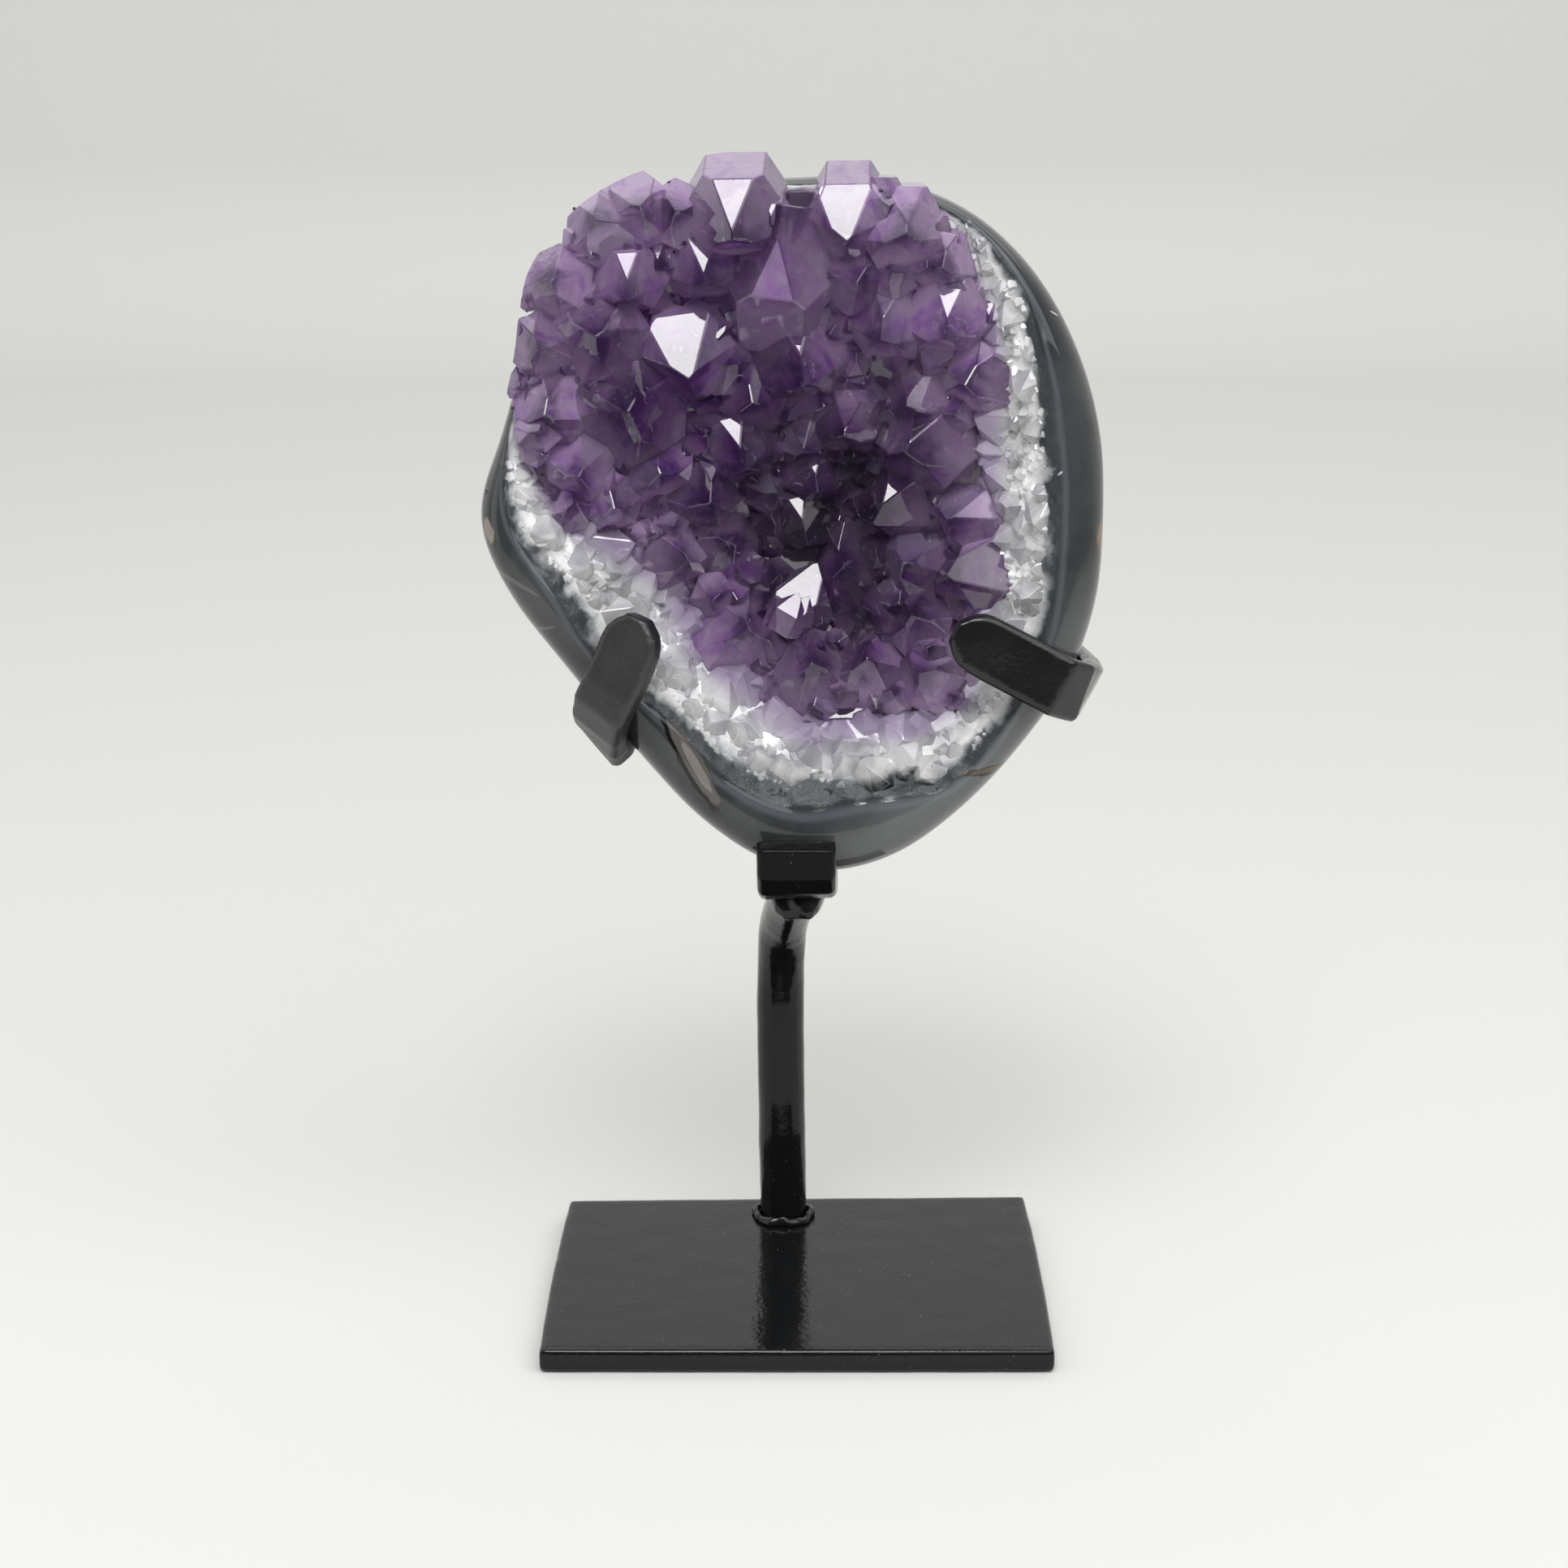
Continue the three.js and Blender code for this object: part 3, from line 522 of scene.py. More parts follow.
# Marks in the polished rind: place in the stone's frame, half sizes, turn, and colour
BROWN, FROST, PITCH = (0.10, 0.075, 0.055), (0.45, 0.45, 0.44), (0.004, 0.004, 0.004)
MARKS = [
    ((-18.6, -43.4, -1), (12.6, 2.3, 5), -62, PITCH),
    ((-18.3, -43.2, -1), (12.0, 1.8, 5), -62, (0.085, 0.078, 0.072)),
    ((-17.2, -45.4, -1), (6.0, 0.9, 5), -60, (0.17, 0.16, 0.15)),
    ((34, -46.2, -4), (5.6, 1.5, 4), 10, PITCH),
    ((34, -46.2, -4), (5.0, 1.0, 4), 10, BROWN),
    ((-54.6, -2.6, -7), (1.3, 3.4, 4), 15, (0.24, 0.20, 0.17)),
    ((-49, -12, -4), (7, 0.5, 5), -28, (0.10, 0.10, 0.105)),
    ((-46, -20, -4), (5, 0.4, 5), 12, (0.11, 0.11, 0.115)),
    ((55.5, -3, -9), (1.6, 9, 6), 0, (0.19, 0.12, 0.075)),
    ((52, 12, -4), (0.25, 3.2, 2), 12, FROST), ((49, 36, -3), (3.4, 0.22, 2), -30, FROST),
    ((48.5, 8.6, -2), (0.9, 0.3, 2), 40, FROST), ((50.4, -15.2, -3), (3.6, 0.3, 2), 4, FROST),
    ((54, -6, -5), (0.3, 1.2, 2), 20, FROST), ((50, 25.4, -3), (0.4, 0.9, 2), -20, FROST),
    ((-2, -64, -4), (0.3, 0.3, 2), 0, PITCH), ((24, -56, -5), (0.35, 0.3, 2), 0, PITCH),
    ((13, -60.5, -4), (0.4, 0.25, 2), 30, PITCH),
]


def enamel(settings, roughness, specular, dust, grit):
    """Black gloss enamel over steel."""
    s = Material("black_enamel")
    skin = s.effect(
        enamel_skin, Paint=rgba(tuple(settings.paint)), Roughness=roughness, Dust=dust, Grit=grit,
    )
    return s.set(
        Base_Color=skin["Colour"], Roughness=skin["Roughness"], Specular_IOR_Level=specular,
        Normal=s.bump(skin["Height"], 0.00008, 0.5),
    )


def agate(settings):
    """Polished grey rind, pale band lines, granular quartz, and a rough dark skin at the back, with a
    painted reflection of the floor at the rind's lower right.
    """
    s = Material("agate_and_quartz")
    warp = s.math("SUBTRACT", s.noise(70, 4), 0.5)
    band = s.math("ADD", s.attribute("band"), s.math("MULTIPLY", warp, 0.10))
    cloud = s.noise(38, 5, 0.6)
    grey = s.mix(s.steps(cloud, 0.35, 0.7), tuple(settings.agate), (0.054, 0.057, 0.059))
    warm = s.steps(s.noise(24, 3), 0.58, 0.75)
    grey = s.mix(s.math("MULTIPLY", warm, 0.3), grey, (0.075, 0.052, 0.038))
    line = s.math("MULTIPLY", s.steps(band, 0.0, 0.10), s.steps(band, 0.22, 0.12))
    grey = s.mix(s.math("MULTIPLY", line, 0.5), grey, (0.10, 0.12, 0.14))
    # Painted reflection of the pale floor: lighter grey towards the lower right of the rind
    row = s.add("ShaderNodeSeparateXYZ", {0: s.place}).outputs
    floor_reflection = s.steps(s.math("SUBTRACT", row["X"], row["Z"]), -0.102, -0.072)
    grey = s.mix(s.math("MULTIPLY", floor_reflection, 0.7), grey, (0.17, 0.175, 0.18))
    for at, size, degrees, colour in MARKS:
        grey = s.mix(s.lens(at, size, degrees), grey, colour)
    quartz_share = s.steps(band, 0.03, -0.06)
    colour = s.mix(quartz_share, grey, s.effect(quartz_colour, Band=band)["Colour"])
    skin = s.steps(s.math("ADD", band, s.math("MULTIPLY", warp, 0.9)), 2.05, 2.2)
    basalt = s.mix(s.noise(300, 6, 0.7), (0.030, 0.034, 0.030), (0.13, 0.135, 0.115))
    rust = s.math("MULTIPLY", s.steps(s.noise(55, 5, 0.65), 0.52, 0.66), 0.6)
    basalt = s.mix(rust, basalt, (0.12, 0.075, 0.045))
    celadon = s.math("MULTIPLY", s.steps(s.noise(85, 4, 0.6, 1), 0.56, 0.68), 0.7)
    basalt = s.mix(celadon, basalt, (0.10, 0.15, 0.125))
    colour = s.mix(skin, colour, basalt)
    rough = s.steps(band, -0.15, -0.35, 0.05, 0.3)
    rough = s.math("ADD", rough, s.math("MULTIPLY", skin, 0.6), clamp=True)
    relief = s.math("MULTIPLY", s.noise(700, 5, 0.7), s.math("MAXIMUM", quartz_share, skin))
    return s.set(
        Base_Color=colour, Roughness=rough, Specular_IOR_Level=0.5,
        Normal=s.bump(relief, 0.0004, 0.8),
    )


def amethyst(settings):
    """Clear quartz, deep violet at its tips and in the hollow, and pale at its roots, with painted shade in
    the hollow's middle and painted light on its faces.
    """
    s = Material("amethyst")
    cloud = s.math("SUBTRACT", s.noise(190, 4, 0.6, 0.8), 0.5)
    below = s.math("ADD", s.attribute("below"), s.math("MULTIPLY", cloud, 1.2))
    root = s.math("MULTIPLY", s.steps(below, 0.15, 1.2), 0.55)
    tint = s.math("SUBTRACT", s.math("ADD", s.attribute("tint"), 0.22), root, clamp=True)
    colour = s.mix(tint, tuple(settings.pale), tuple(settings.deep))
    fringe = s.math("MULTIPLY", s.steps(s.noise(110, 5, 0.6, 1.5), 0.46, 0.72), 0.65)
    colour = s.mix(fringe, colour, (0.30, 0.085, 0.48))
    point = s.math("MULTIPLY", s.steps(below, 0.55, 0.05), 0.75)
    colour = s.mix(point, colour, (0.045, 0.014, 0.095))
    # Painted shade: darker and greyer in the hollow's middle, most where it lies deepest
    hollow_painted_shade = s.math("MULTIPLY", s.attribute("depth"), s.steps(s.noise(90, 2), 0.3, 0.7, 0.4, 1))
    colour = s.mix(hollow_painted_shade, colour, (0.060, 0.045, 0.070))
    # Painted shade, highlight and sheen on each face
    colour = s.effect(facet_painted_light, Colour=colour, Facet=s.attribute("facet"), Dark=0.35, Light=1.5)["Colour"]
    veil = s.math("MULTIPLY", s.steps(s.noise(260, 6, 0.72, 2), 0.60, 0.66), 0.35)
    colour = s.mix(veil, colour, (0.62, 0.55, 0.70))
    bruise = s.steps(s.noise(900, 3, 0.6), 0.60, 0.72)
    rough = s.math("ADD", 0.015, s.math("MULTIPLY", bruise, 0.08))
    material = s.set(
        Base_Color=colour, Roughness=rough, IOR=1.544, Transmission_Weight=0.6,
        Specular_IOR_Level=1.0, Normal=s.bump(s.noise(500, 2), 0.00003, 0.15),
    )
    absorption = s.add("ShaderNodeVolumeAbsorption", {
        "Color": rgba(tuple(settings.absorb)), "Density": settings.density,
    })
    s.links.new(absorption.outputs[0], s.output.inputs["Volume"])
    return material


def quartz(name, clear):
    """Milky or clear quartz between the amethyst and the rind, with painted light on its faces."""
    s = Material(name)
    band = s.math("SUBTRACT", s.attribute("band"), 0.10)
    colour = s.effect(quartz_colour, Band=band)["Colour"]
    # Painted shade, highlight and sheen on each face
    colour = s.effect(facet_painted_light, Colour=colour, Facet=s.attribute("facet"), Dark=0.82, Light=1.25)["Colour"]
    rough = s.steps(s.noise(300, 3), 0.35, 0.7, 0.04, 0.2)
    return s.set(
        Base_Color=colour, Roughness=rough, IOR=1.544, Transmission_Weight=clear,
        Specular_IOR_Level=1.0, Normal=s.bump(s.noise(600, 3), 0.00006, 0.4),
    )


def speck_black():
    """Tiny black mineral needles and grains on the quartz."""
    s = Material("black_specks")
    colour = s.mix(s.noise(2000, 2), (0.002, 0.002, 0.003), (0.02, 0.018, 0.016))
    return s.set(Base_Color=colour, Roughness=0.3)


def pale_floor(settings):
    """The pale matt floor and backdrop."""
    s = Material("pale_floor")
    colour = s.mix(s.math("MULTIPLY", s.noise(3, 3), 0.15), tuple(settings.floor), (0.64, 0.64, 0.625))
    return s.set(Base_Color=colour, Roughness=0.9, Specular_IOR_Level=0.2)


# Stand

STEEL = {
    # node: voxel share, smoothing passes, and its enamel's roughness, specular level, dust and grit
    "base_plate": (1.5, 4, 0.10, 0.33, 1, 0),
    "post": (1, 6, 0.10, 0.27, 0.6, 0.3),
    "cradle": (1, 5, 0.13, 0.1, 1, 0.6),
    "right_arm": (0.9, 5, 0.16, 0.5, 0.3, 0.2),
    "left_arm": (0.9, 5, 0.36, 0.9, 1, 2.5),
    "foot_weld": (0.6, 3, 0.12, 0.4, 0.5, 0.3),
    "head_weld": (0.6, 3, 0.14, 0.4, 0.5, 0.5),
}


class AMETHYST_OT_stand(bpy.types.Operator):
    """Dresses the plate, post, welds, cradle and arms in thick black enamel"""

    bl_idname = "amethyst.stand"
    bl_label = "Dress the stand"

    def execute(self, context):
        settings = context.scene.amethyst.stand
        for node, (share, passes, *finish) in STEEL.items():
            piece = cad_copy(node, f"{node}_enamelled")
            apply(piece, "REMESH", mode="VOXEL", voxel_size=settings.voxel * share)
            apply(piece, "SMOOTH", factor=0.5, iterations=passes)
            wave = settings.waviness * (0.4 if node == "base_plate" else 1)
            move_points(piece, lambda at, normal: wave * noise.noise(at * 160))
            finish_piece(piece, enamel(settings, *finish), "black_enamel", node, smooth=50)
        return {"FINISHED"}


# Stone

def in_stone(at):
    """A point of the row frame in the stone's own frame, in millimetres."""
    return TO_STONE @ at


def band_at(at):
    """Where a point lies between crystals and rind: -1 where the crystals end, 0 at the rind,
    1 at the widest place, and past 1 round the back."""
    u, v, n = in_stone(at)
    angle = math.atan2(v, u)
    r = math.hypot(u, v)
    widest = around(RIM_SETBACK, angle) + RIM_DEEP
    front = abs(n + hollow_depth(u, v)) < abs(n + back_depth(u, v))
    rind = around(RIND_EDGE, angle)
    if r < rind and front:
        crust = around(CRUST_EDGE, angle)
        return (r - rind) / (rind - crust)
    if -n > widest:
        return 1 + (-n - widest) / 14
    return min(1, max(0, (r - rind) / max(around(OUTLINE, angle) - rind, 0.5)))


class AMETHYST_OT_body(bpy.types.Operator):
    """Makes the geode's body smooth where it is polished and rough at its back and its quartz"""

    bl_idname = "amethyst.body"
    bl_label = "Dress the geode's body"

    def execute(self, context):
        piece = cad_copy("geode_body", "geode_stone")
        bpy.ops.object.mode_set(mode="EDIT")
        bpy.ops.mesh.select_all(action="SELECT")
        bpy.ops.mesh.tris_convert_to_quads()
        bpy.ops.object.mode_set(mode="OBJECT")
        apply(piece, "SUBSURF", levels=3, render_levels=3)
        paint(piece, "band", band_at)
        bands = [one.value for one in piece.data.attributes["band"].data]

        def rough(i, at):
            lump = noise.fractal(at * 260, 1.0, 2.0, 4)
            if bands[i] < -0.02:
                return 0.0006 * lump
            skin = min(1, max(0, (bands[i] - 2.1) / 0.4))
            return skin * (0.0005 * lump + 0.0009 * noise.noise(at * 70) - 0.0006)

        shifts = iter([rough(i, v.co) for i, v in enumerate(piece.data.vertices)])
        move_points(piece, lambda at, normal: next(shifts))
        finish_piece(piece, agate(context.scene.amethyst.stone), "agate_rind", "geode_body", smooth=60)
        return {"FINISHED"}


# Crystals

def cut_away(at, normal):
    """Cuts off what lies past a plane and closes the cut."""
    bpy.ops.mesh.select_all(action="SELECT")
    bpy.ops.mesh.bisect(plane_co=at, plane_no=normal, use_fill=True, clear_outer=True)


def quartz_crystal(draw, bevel):
    """A quartz crystal of radius 1 with its tip near the origin: six sides and six end faces, all uneven."""
    deselect()
    bpy.ops.mesh.primitive_cube_add(size=1, location=(0, 0, -0.95), scale=(2.4, 2.4, 2.5))
    bpy.ops.object.transform_apply(location=True, rotation=False, scale=True)
    bpy.ops.object.mode_set(mode="EDIT")
    for i in range(6):
        turn = math.radians(60 * i)
        side = Vector((math.cos(turn), math.sin(turn), 0))
        cut_away(side * draw.uniform(0.78, 0.94), side)
        broad = i % 2 == 0
        low = draw.uniform(-0.06, 0.03) if broad else draw.uniform(0.0, 0.3)
        cut_away((0, 0, low), side * math.sin(END_FACE_ANGLE) + Vector((0, 0, math.cos(END_FACE_ANGLE))))
    bpy.ops.object.mode_set(mode="OBJECT")
    crystal = bpy.context.object
    if bevel:
        apply(crystal, "BEVEL", width=bevel, segments=1, limit_method="ANGLE", angle_limit=math.radians(20))
    return crystal


def grow(draw, patterns, tip, axis, radius, spin, number=0):
    """A copy of a pattern crystal with its tip at a place in the stone's frame, and a random value for each
    face that sets its painted shade, highlight and sheen.
    """
    crystal = copy_of(draw.choice(patterns), "crystal")
    faces = crystal.data.polygons
    # Random values for each face, for its painted shade, highlight and sheen
    base = 0.3 * draw.random()
    store(crystal, "facet", "FACE", [base + 0.7 * draw.random() for _ in faces])
    store(crystal, "number", "FACE", [number] * len(faces))
    turn = upright_to(axis) @ Quaternion((0, 0, 1), spin)
    placed = TO_ROW @ Matrix.Translation(tip) @ turn.to_matrix().to_4x4() @ Matrix.Scale(radius, 4)
    crystal.data.transform(placed)
    return crystal


def upright_to(axis):
    return Vector((0, 0, 1)).rotation_difference(axis)


def lit_axis(axis):
    """The nearest axis that has an end face square to the softbox's reflection."""
    return Quaternion(TO_LIGHT.cross(axis), END_FACE_ANGLE) @ TO_LIGHT


def spin_to(axis, direction):
    """The turn about the axis that brings the first end face to a direction."""
    side = upright_to(axis).inverted() @ direction
    return math.atan2(side.y, side.x)


def combine(piece, other, operation):
    """Joins, cuts or trims a piece by another one, which is used up."""
    apply(piece, "BOOLEAN", operation=operation, object=other, solver="MANIFOLD")
    remove(other)


def grown_together(objects):
    """One closed skin round all of these, joined two by two."""
    if len(objects) == 1:
        return objects[0]
    half = len(objects) // 2
    first, second = grown_together(objects[:half]), grown_together(objects[half:])
    combine(first, second, "UNION")
    return first


def remove(*objects):
    for one in objects:
        bpy.data.objects.remove(one)


def largest_part(piece):
    """Leaves the largest loose part of a piece."""
    pick(piece)
    bpy.ops.mesh.separate(type="LOOSE")
    parts = sorted(bpy.context.selected_objects, key=lambda one: len(one.data.vertices))
    remove(*parts[:-1])
    return parts[-1]


def growth_axis(u, v, lean_u, lean_v):
    """The way that a crystal grows: out of its bed, towards the viewer, and leaned."""
    return (bed_normal(u, v) * 0.55 + Vector((lean_u, lean_v, 0.6))).normalized()


def large_rows(draw):
    """The large crystals, each with smaller ones stepped down its sides."""
    rows = []
    for u, v, radius, lean_u, lean_v, reach in LARGE_CRYSTALS:
        tall = (u, v) == TALL_CRYSTAL
        axis = growth_axis(u, v, lean_u, lean_v)
        spin = draw.uniform(0, math.pi)
        if (u, v) in LIT_CRYSTALS:
            axis = lit_axis(axis - Vector((0, 0.02 * v, 0)))
            spin = spin_to(axis, TO_LIGHT) - math.radians(0 if (u, v) in BROADLY_LIT else 60)
        elif tall:
            spin = spin_to(axis, TO_VIEWER) + TALL_TURN
        tip = bed_point(u, v) + axis * reach
        rows.append((tip, axis, radius, spin))
        for _ in range(0 if tall else 1 if radius > BROAD else 2):
            turn = draw.uniform(0, 2 * math.pi)
            side = axis.orthogonal().normalized()
            side.rotate(Quaternion(axis, turn))
            share = draw.uniform(0.28, 0.5)
            drop = axis * radius * draw.uniform(0.55, 0.8)
            rows.append((tip - drop + side * radius * draw.uniform(0.65, 0.9), axis, radius * share, spin))
    return rows


def small_rows(draw):
    """Small crystals on a shaken grid, where no large one stands."""
    rows = []
    odd = False
    v = -GRID_REACH
    while v < GRID_REACH:
        odd = not odd
        u = -GRID_REACH + (GRID_SPACING / 2 if odd else 0)
        while u < GRID_REACH:
            x = u + draw.uniform(-GRID_SHAKE, GRID_SHAKE)
            y = v + draw.uniform(-GRID_SHAKE, GRID_SHAKE)
            size = draw.uniform(2.4, 5.4)
            edge = around(CRUST_EDGE, math.atan2(y, x)) - 1.5
            covered = any(math.hypot(x - c[0], y - c[1]) < c[2] * 0.55 for c in LARGE_CRYSTALS)
            if math.hypot(x, y) < edge and not covered:
                axis = growth_axis(x, y, draw.uniform(-0.4, 0.4), draw.uniform(-0.4, 0.4))
                tip = bed_point(x, y) + axis * size * draw.uniform(0.7, 1.6)
                rows.append((tip, axis, size, draw.uniform(0, math.pi)))
            u += GRID_SPACING
        v += GRID_SPACING * math.sqrt(0.75)
    return rows


def crystal_bed():
    """The slab that the crystals grow from, thinning out at its edge."""
    deselect()
    bpy.ops.mesh.primitive_uv_sphere_add(segments=72, ring_count=24, radius=1, location=(0, 0, 0))
    bed = bpy.context.object
    for vertex in bed.data.vertices:
        x, y, z = vertex.co
        angle = math.atan2(y, x)
        r = math.hypot(x, y) * around(CRUST_EDGE, angle)
        top = bed_point(r * math.cos(angle), r * math.sin(angle))
        drop = 0 if z >= 0 else (BED_THICK + 3) * min(1, -z * 2)
        vertex.co = top - Vector((0, 0, drop))
    bed.data.transform(TO_ROW)
    return bed


def sides_of_stone():
    """The space that the crystals keep within: those on the rim are ground off along the stone's side."""
    deselect()
    bpy.ops.mesh.primitive_cylinder_add(vertices=144, radius=1, depth=2 * HOLLOW_DEEP, location=(0, 0, 0))
    space = bpy.context.object
    for vertex in space.data.vertices:
        angle = math.atan2(vertex.co.y, vertex.co.x)
        r = around(OUTLINE, angle) + around(CRYSTALS_PROUD, angle) - 0.2
        vertex.co = (r * math.cos(angle), r * math.sin(angle), vertex.co.z)
    space.data.transform(TO_ROW)
    return space


def hollow_shade_at(at):
    """How much painted shade a point gets: the further down in the hollow's middle it lies, the more."""
    u, v, n = in_stone(at)
    middle = 1 - math.hypot((u - 6) / 26, v / 38)
    return min(1, max(0, middle * 1.6)) * min(1, max(0, (-n - 2) / 14))


def tint_at(at):
    """How deep the violet is: most in the hollow and at the tips, least at the rim and the roots."""
    u, v, n = in_stone(at)
    angle = math.atan2(v, u)
    inside = 1 - min(1.1, math.hypot(u, v) / around(CRUST_EDGE, angle))
    height = n - bed_point(u, v).z
    pale = 1.6 * max(0, math.cos(angle - PALE_TOP)) ** 2 + 0.8 * max(0, -math.sin(angle)) ** 2
    pale += 1.4 * max(0, -math.cos(angle)) ** 2
    rim = min(1, max(0, inside * (2.6 - pale)))
    return min(1, max(0, 0.08 + 0.58 * rim + 0.03 * (height - 3)))


class AMETHYST_OT_crust(bpy.types.Operator):
    """Grows the amethyst crystals over the hollow's floor and joins them in one clear skin"""

    bl_idname = "amethyst.crust"
    bl_label = "Grow the amethyst"

    def execute(self, context):
        settings = context.scene.amethyst.stone
        draw = random.Random(settings.seed)
        patterns = [quartz_crystal(draw, 0.022) for _ in range(9)]
        rows = large_rows(draw) + small_rows(draw)
        crystals = [grow(draw, patterns, *row, number=i + 1) for i, row in enumerate(rows)]
        crust = grown_together([crystal_bed(), *crystals])
        body = cad_copy("geode_body", "cutter")
        sink = TO_ROW @ Matrix.Translation((0, 0, -1.1)) @ Matrix.Diagonal((0.985, 0.985, 1, 1)) @ TO_STONE
        body.data.transform(sink)
        combine(crust, body, "DIFFERENCE")
        combine(crust, sides_of_stone(), "INTERSECT")
        remove(*patterns)
        crust = largest_part(crust)
        if len(crust.data.vertices) < 10 * len(rows):
            raise RuntimeError("The crystals did not grow together")
        crust.name = crust.data.name = "amethyst_crystals"
        self.measure_tips(crust, rows)
        paint(crust, "tint", tint_at)
        # The painted shade of the hollow's middle
        paint(crust, "depth", hollow_shade_at)
        finish_piece(crust, amethyst(settings), "amethyst", "amethyst_crust")
        return {"FINISHED"}

    def measure_tips(self, crust, rows):
        """Keeps how far each corner lies below the tip of its crystal, in the crystal's radius."""
        numbers = crust.data.attributes["number"].data
        points = [in_stone(v.co) for v in crust.data.vertices]
        below = []
        for face in crust.data.polygons:
            number = round(numbers[face.index].value)
            for i in face.vertices:
                if number:
                    tip, axis, radius, _ = rows[number - 1]
                    below.append((tip - points[i]).dot(axis) / radius)
                else:
                    below.append(ROOT)
        store(crust, "below", "CORNER", below)


# Quartz band

class AMETHYST_OT_quartz(bpy.types.Operator):
    """Fills the band between amethyst and rind with quartz crystals and broken grains"""

    bl_idname = "amethyst.quartz"
    bl_label = "Fill the quartz band"

    def execute(self, context):
        settings = context.scene.amethyst.stone
        draw = random.Random(settings.seed + 1)
        patterns = [quartz_crystal(draw, 0.03) for _ in range(5)]
        coarse = [self.grain(draw, patterns, draw.uniform(-1.05, -0.22), 2.6, 8) for _ in range(CHUNKS)]
        coarse = grown_together([one for one in coarse if one])
        coarse.name = coarse.data.name = "quartz_crystals"
        plain = [quartz_crystal(draw, 0) for _ in range(5)]
        fine = [self.grain(draw, plain, -0.6 * draw.random() - 0.16, 0.7, 2.2) for _ in range(GRAINS)]
        fine = joined([one for one in fine if one], "quartz_grains")
        for piece, clear in ((coarse, 0.5), (fine, 0.15)):
            paint(piece, "band", band_at)
            finish_piece(piece, quartz(f"{piece.name}_look", clear), "agate_rind")
        remove(*patterns, *plain)
        return {"FINISHED"}

    def grain(self, draw, patterns, band, small, large):
        """One grain at a place in the band, with its tip no higher than the stone's face."""
        angle = draw.uniform(0, 2 * math.pi)
        rind, crust = around(RIND_EDGE, angle), around(CRUST_EDGE, angle)
        wide = rind - crust
        if wide < 4 or draw.random() > wide / 18:
            return None
        r = rind + band * wide
        size = min(draw.uniform(small, large) * (0.5 + 0.5 * min(1, -band * 1.4)), 0.42 * wide)
        u, v = r * math.cos(angle), r * math.sin(angle)
        floor = Vector((u, v, -hollow_depth(u, v)))
        lean = draw.uniform(0.2, 0.9)
        size = min(size, (around(OUTLINE, angle) - r - 0.5) / (1 + 2.1 * lean))
        inward = Vector((-math.cos(angle), -math.sin(angle), 0)) * lean
        shake = Vector((draw.uniform(-0.3, 0.3), draw.uniform(-0.3, 0.3), 0.8))
        axis = (inward + shake).normalized()
        tip = floor + axis * size * draw.uniform(0.4, 0.9)
        tip.z = min(tip.z, 0.2 - around(RIM_SETBACK, angle))
        return grow(draw, patterns, tip, axis, size, draw.uniform(0, math.pi))


# Specks

class AMETHYST_OT_specks(bpy.types.Operator):
    """Sets tiny black mineral grains in the grooves between the crystals"""

    bl_idname = "amethyst.specks"
    bl_label = "Add the black specks"

    def execute(self, context):
        draw = random.Random(context.scene.amethyst.stone.seed + 2)
        deselect()
        bpy.ops.mesh.primitive_ico_sphere_add(subdivisions=1, radius=1)
        pattern = bpy.context.object
        crust = bpy.data.objects["amethyst_crystals"]
        edges = list(crust.data.edges)
        specks = []
        while len(specks) < SPECKS:
            edge = draw.choice(edges)
            a, b = (crust.data.vertices[i].co for i in edge.vertices)
            at = a.lerp(b, draw.random())
            size = draw.uniform(0.15, 0.45)
            u, v, n = in_stone(at)
            if n - bed_point(u, v).z > GROOVE_TOP or (a - b).length < MM:
                continue
            speck = copy_of(pattern, "speck")
            turn = Quaternion(Vector((draw.random(), draw.random(), 1)).normalized(), draw.uniform(0, 3))
            shape = Matrix.Diagonal((size * 1.6, size, size * 0.7, 1))
            placed = Matrix.Translation(at) @ turn.to_matrix().to_4x4() @ Matrix.Scale(MM, 4)
            speck.data.transform(placed @ shape)
            specks.append(speck)
        remove(pattern)
        piece = joined(specks, "black_specks")
        finish_piece(piece, speck_black(), "agate_rind", smooth=60)
        return {"FINISHED"}


# Stage

CAMERA_AT = (-0.0024, -0.593, 0.2765)
CAMERA_DOWN = math.radians(16.15)
LENS_MM = 75

# How bright the room is: in reflections in front and behind, for matt surfaces, and to the camera
ROOM_IN_FRONT, ROOM_BEHIND = 0.10, 0.72
ROOM_LIGHT = (0.45, 0.45, 0.45, 1)
ROOM_SEEN = (0.72, 0.73, 0.70, 1)


def area_light(name, at, aim, size, power):
    deselect()
    bpy.ops.object.light_add(type="AREA", location=at)
    light = bpy.context.object
    light.name = name
    light.data.shape = "RECTANGLE"
    light.data.size, light.data.size_y = size
    light.data.energy = power
    light.rotation_euler = (Vector(aim) - Vector(at)).to_track_quat("-Z", "Y").to_euler()


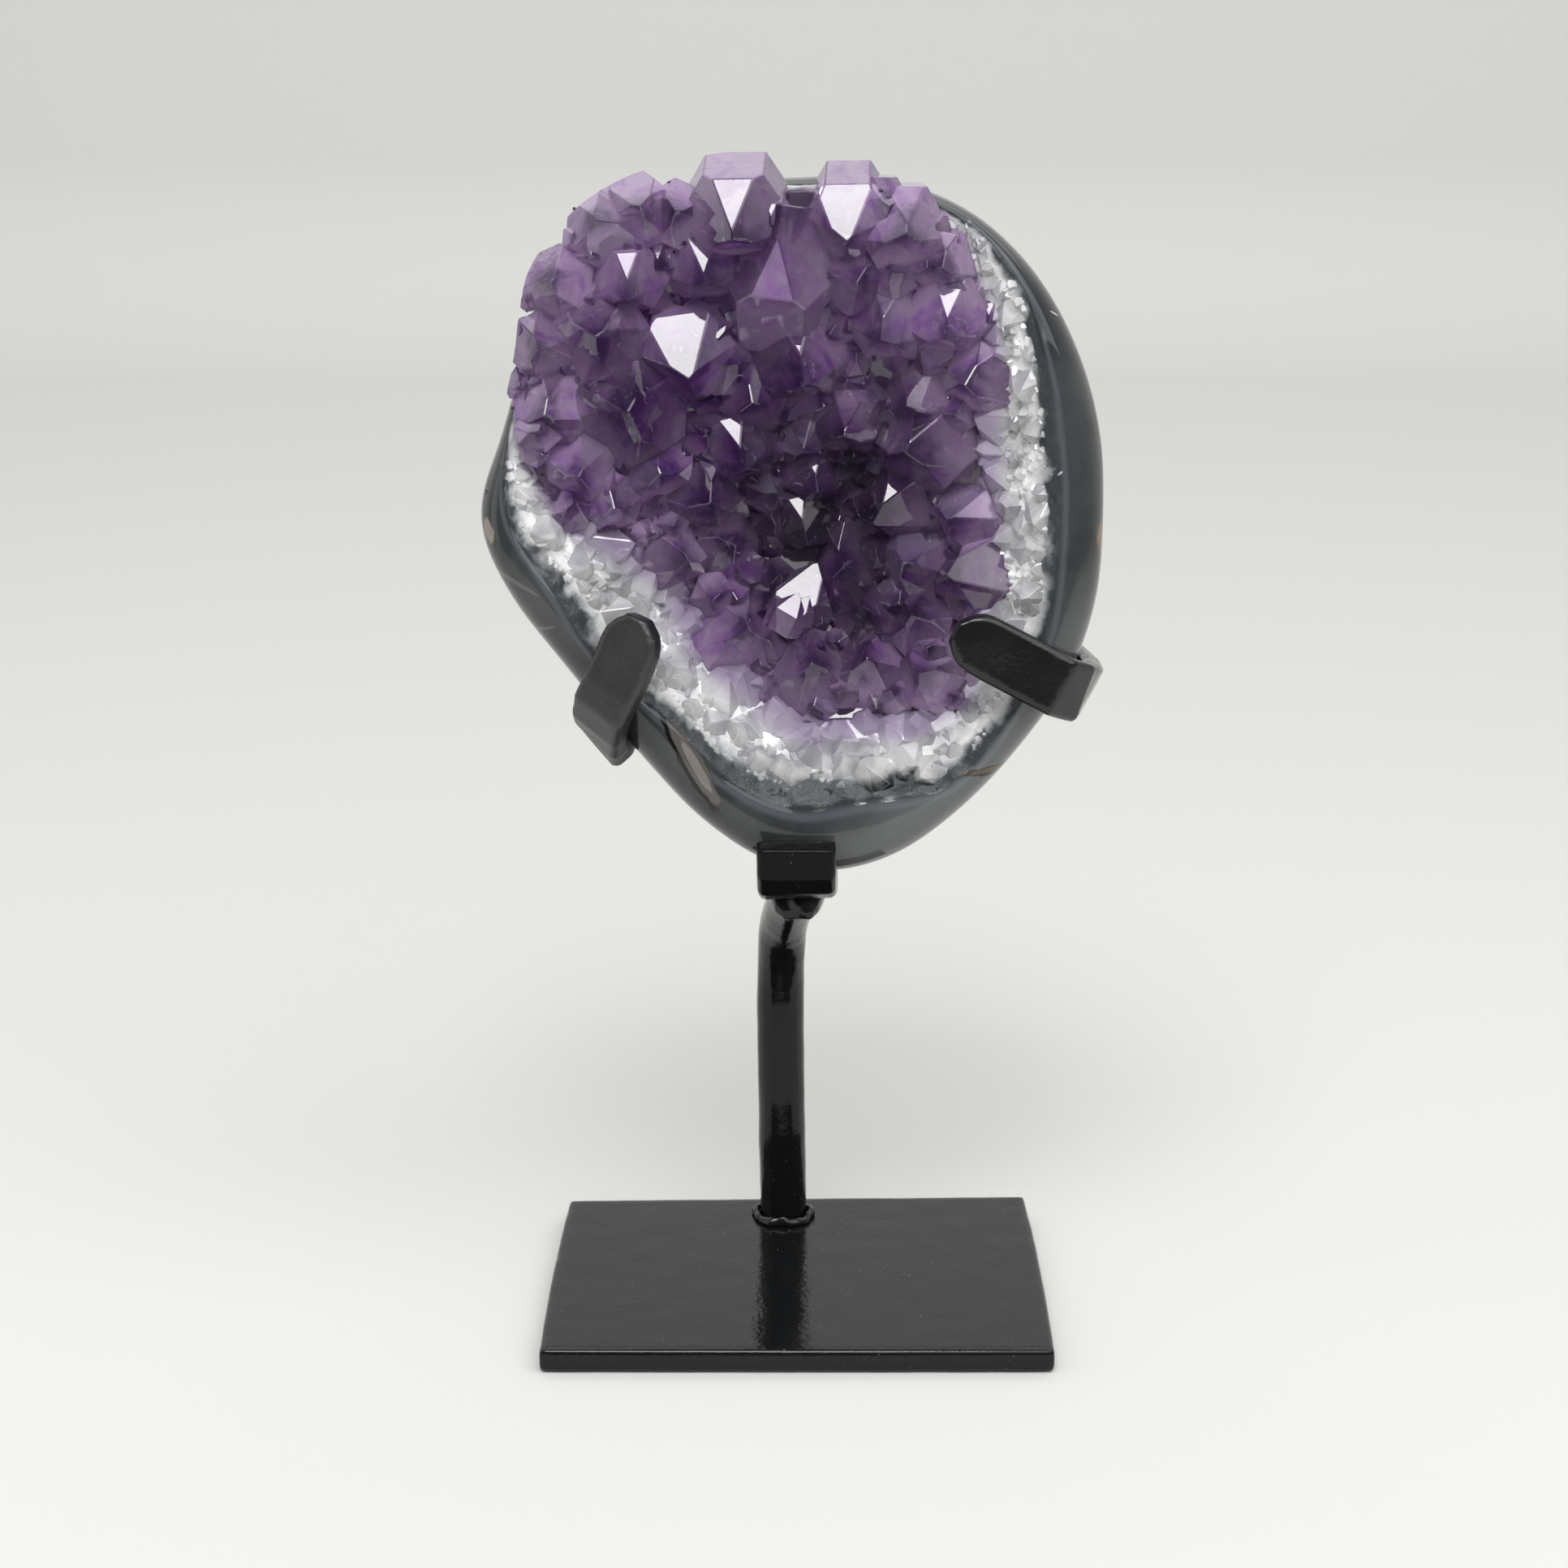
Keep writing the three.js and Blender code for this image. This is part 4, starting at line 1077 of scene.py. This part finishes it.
class AMETHYST_OT_stage(bpy.types.Operator):
    """Lays the pale floor, and sets the lights and the camera"""

    bl_idname = "amethyst.stage"
    bl_label = "Set the stage"

    def execute(self, context):
        settings = context.scene.amethyst.stage
        self.floor(settings)
        aim = (0, -0.01, 0.13)
        area_light("softbox", (-0.10, -0.55, 0.90), aim, (0.38, 0.38), settings.key)
        area_light("ceiling_light", (0, -0.4, 1.35), (0, -0.4, 0), (2.6, 2.0), settings.fill)
        area_light("wide_light", (0.42, -0.62, 0.95), aim, (1.2, 0.9), 6.5)
        area_light("back_light", (0, 1.0, 1.3), (0, 1.35, 0), (3, 1), 10)
        area_light("side_light", (-0.9, -0.1, 0.4), aim, (0.4, 0.8), 0.8)
        self.room(context)
        bpy.ops.object.camera_add(location=CAMERA_AT, rotation=(math.pi / 2 - CAMERA_DOWN, 0, 0))
        camera = context.object
        camera.name = "camera"
        camera.data.lens = LENS_MM
        camera.data.clip_start = 0.01
        context.scene.camera = camera
        context.scene.view_settings.view_transform = "Standard"
        return {"FINISHED"}

    def floor(self, settings):
        """A floor that curves up into a low backdrop."""
        deselect()
        bpy.ops.mesh.primitive_plane_add(size=2.4, location=(0, 0, 0))
        floor = bpy.context.object
        bpy.ops.object.mode_set(mode="EDIT")
        bpy.ops.mesh.select_all(action="DESELECT")
        bpy.ops.object.mode_set(mode="OBJECT")
        for edge in floor.data.edges:
            a, b = (floor.data.vertices[i].co for i in edge.vertices)
            edge.select = a.y > 1 and b.y > 1
        bpy.ops.object.mode_set(mode="EDIT")
        bpy.ops.mesh.select_mode(type="EDGE")
        bpy.ops.mesh.extrude_region_move(TRANSFORM_OT_translate={"value": (0, 0.1, 0.05)})
        bpy.ops.mesh.extrude_region_move(TRANSFORM_OT_translate={"value": (0, 0.04, 0.17)})
        bpy.ops.object.mode_set(mode="OBJECT")
        apply(floor, "BEVEL", width=0.05, segments=8, limit_method="ANGLE", angle_limit=math.radians(10))
        floor.name = "floor"
        floor.data.materials.append(pale_floor(settings))
        pick(floor)
        bpy.ops.object.shade_smooth()

    def room(self, context):
        """A room that is pale, and dim in front where reflections show it."""
        world = context.scene.world or bpy.data.worlds.new("room")
        context.scene.world = world
        world.use_nodes = True
        nodes, links = world.node_tree.nodes, world.node_tree.links
        way = nodes.new("ShaderNodeTexCoord")
        split = nodes.new("ShaderNodeSeparateXYZ")
        links.new(way.outputs["Generated"], split.inputs[0])
        dim = nodes.new("ShaderNodeMapRange")
        spans = {"From Min": -0.7, "From Max": 0.6, "To Min": ROOM_IN_FRONT, "To Max": ROOM_BEHIND}
        for key, value in spans.items():
            dim.inputs[key].default_value = value
        links.new(split.outputs["Y"], dim.inputs["Value"])
        path = nodes.new("ShaderNodeLightPath")
        soft = self.either(world, path.outputs["Is Diffuse Ray"], dim.outputs["Result"], ROOM_LIGHT)
        seen = self.either(world, path.outputs["Is Camera Ray"], soft, ROOM_SEEN)
        links.new(seen, nodes["Background"].inputs["Color"])

    def either(self, world, share, first, second):
        """The first colour, or the second where the share is 1."""
        mix = world.node_tree.nodes.new("ShaderNodeMix")
        mix.data_type = "RGBA"
        world.node_tree.links.new(share, mix.inputs[0])
        world.node_tree.links.new(first, mix.inputs[6])
        mix.inputs[7].default_value = second
        return mix.outputs[2]


# Panel and registration

class AMETHYST_PT_panel(bpy.types.Panel):
    bl_label = "Amethyst"
    bl_idname = "AMETHYST_PT_panel"
    bl_space_type = "VIEW_3D"
    bl_region_type = "UI"
    bl_category = "Amethyst"

    def draw(self, context):
        for group, operators in STEPS.items():
            settings = getattr(context.scene.amethyst, group)
            box = self.layout.box()
            for name in settings.__annotations__:
                box.prop(settings, name)
            for operator in operators:
                box.operator(operator.bl_idname)


STEPS = {
    "stand": [AMETHYST_OT_stand],
    "stone": [AMETHYST_OT_body, AMETHYST_OT_crust, AMETHYST_OT_quartz, AMETHYST_OT_specks],
    "stage": [AMETHYST_OT_stage],
}
OPERATORS = [operator for group in STEPS.values() for operator in group]
CLASSES = [StandSettings, StoneSettings, StageSettings, AmethystSettings, *OPERATORS, AMETHYST_PT_panel]


def register():
    for one in CLASSES:
        bpy.utils.register_class(one)
    bpy.types.Scene.amethyst = PointerProperty(type=AmethystSettings)


def unregister():
    del bpy.types.Scene.amethyst
    for one in reversed(CLASSES):
        bpy.utils.unregister_class(one)


def main():
    register()
    for operator in OPERATORS:
        group, name = operator.bl_idname.split(".")
        getattr(getattr(bpy.ops, group), name)()


if __name__ == "__main__":
    main()
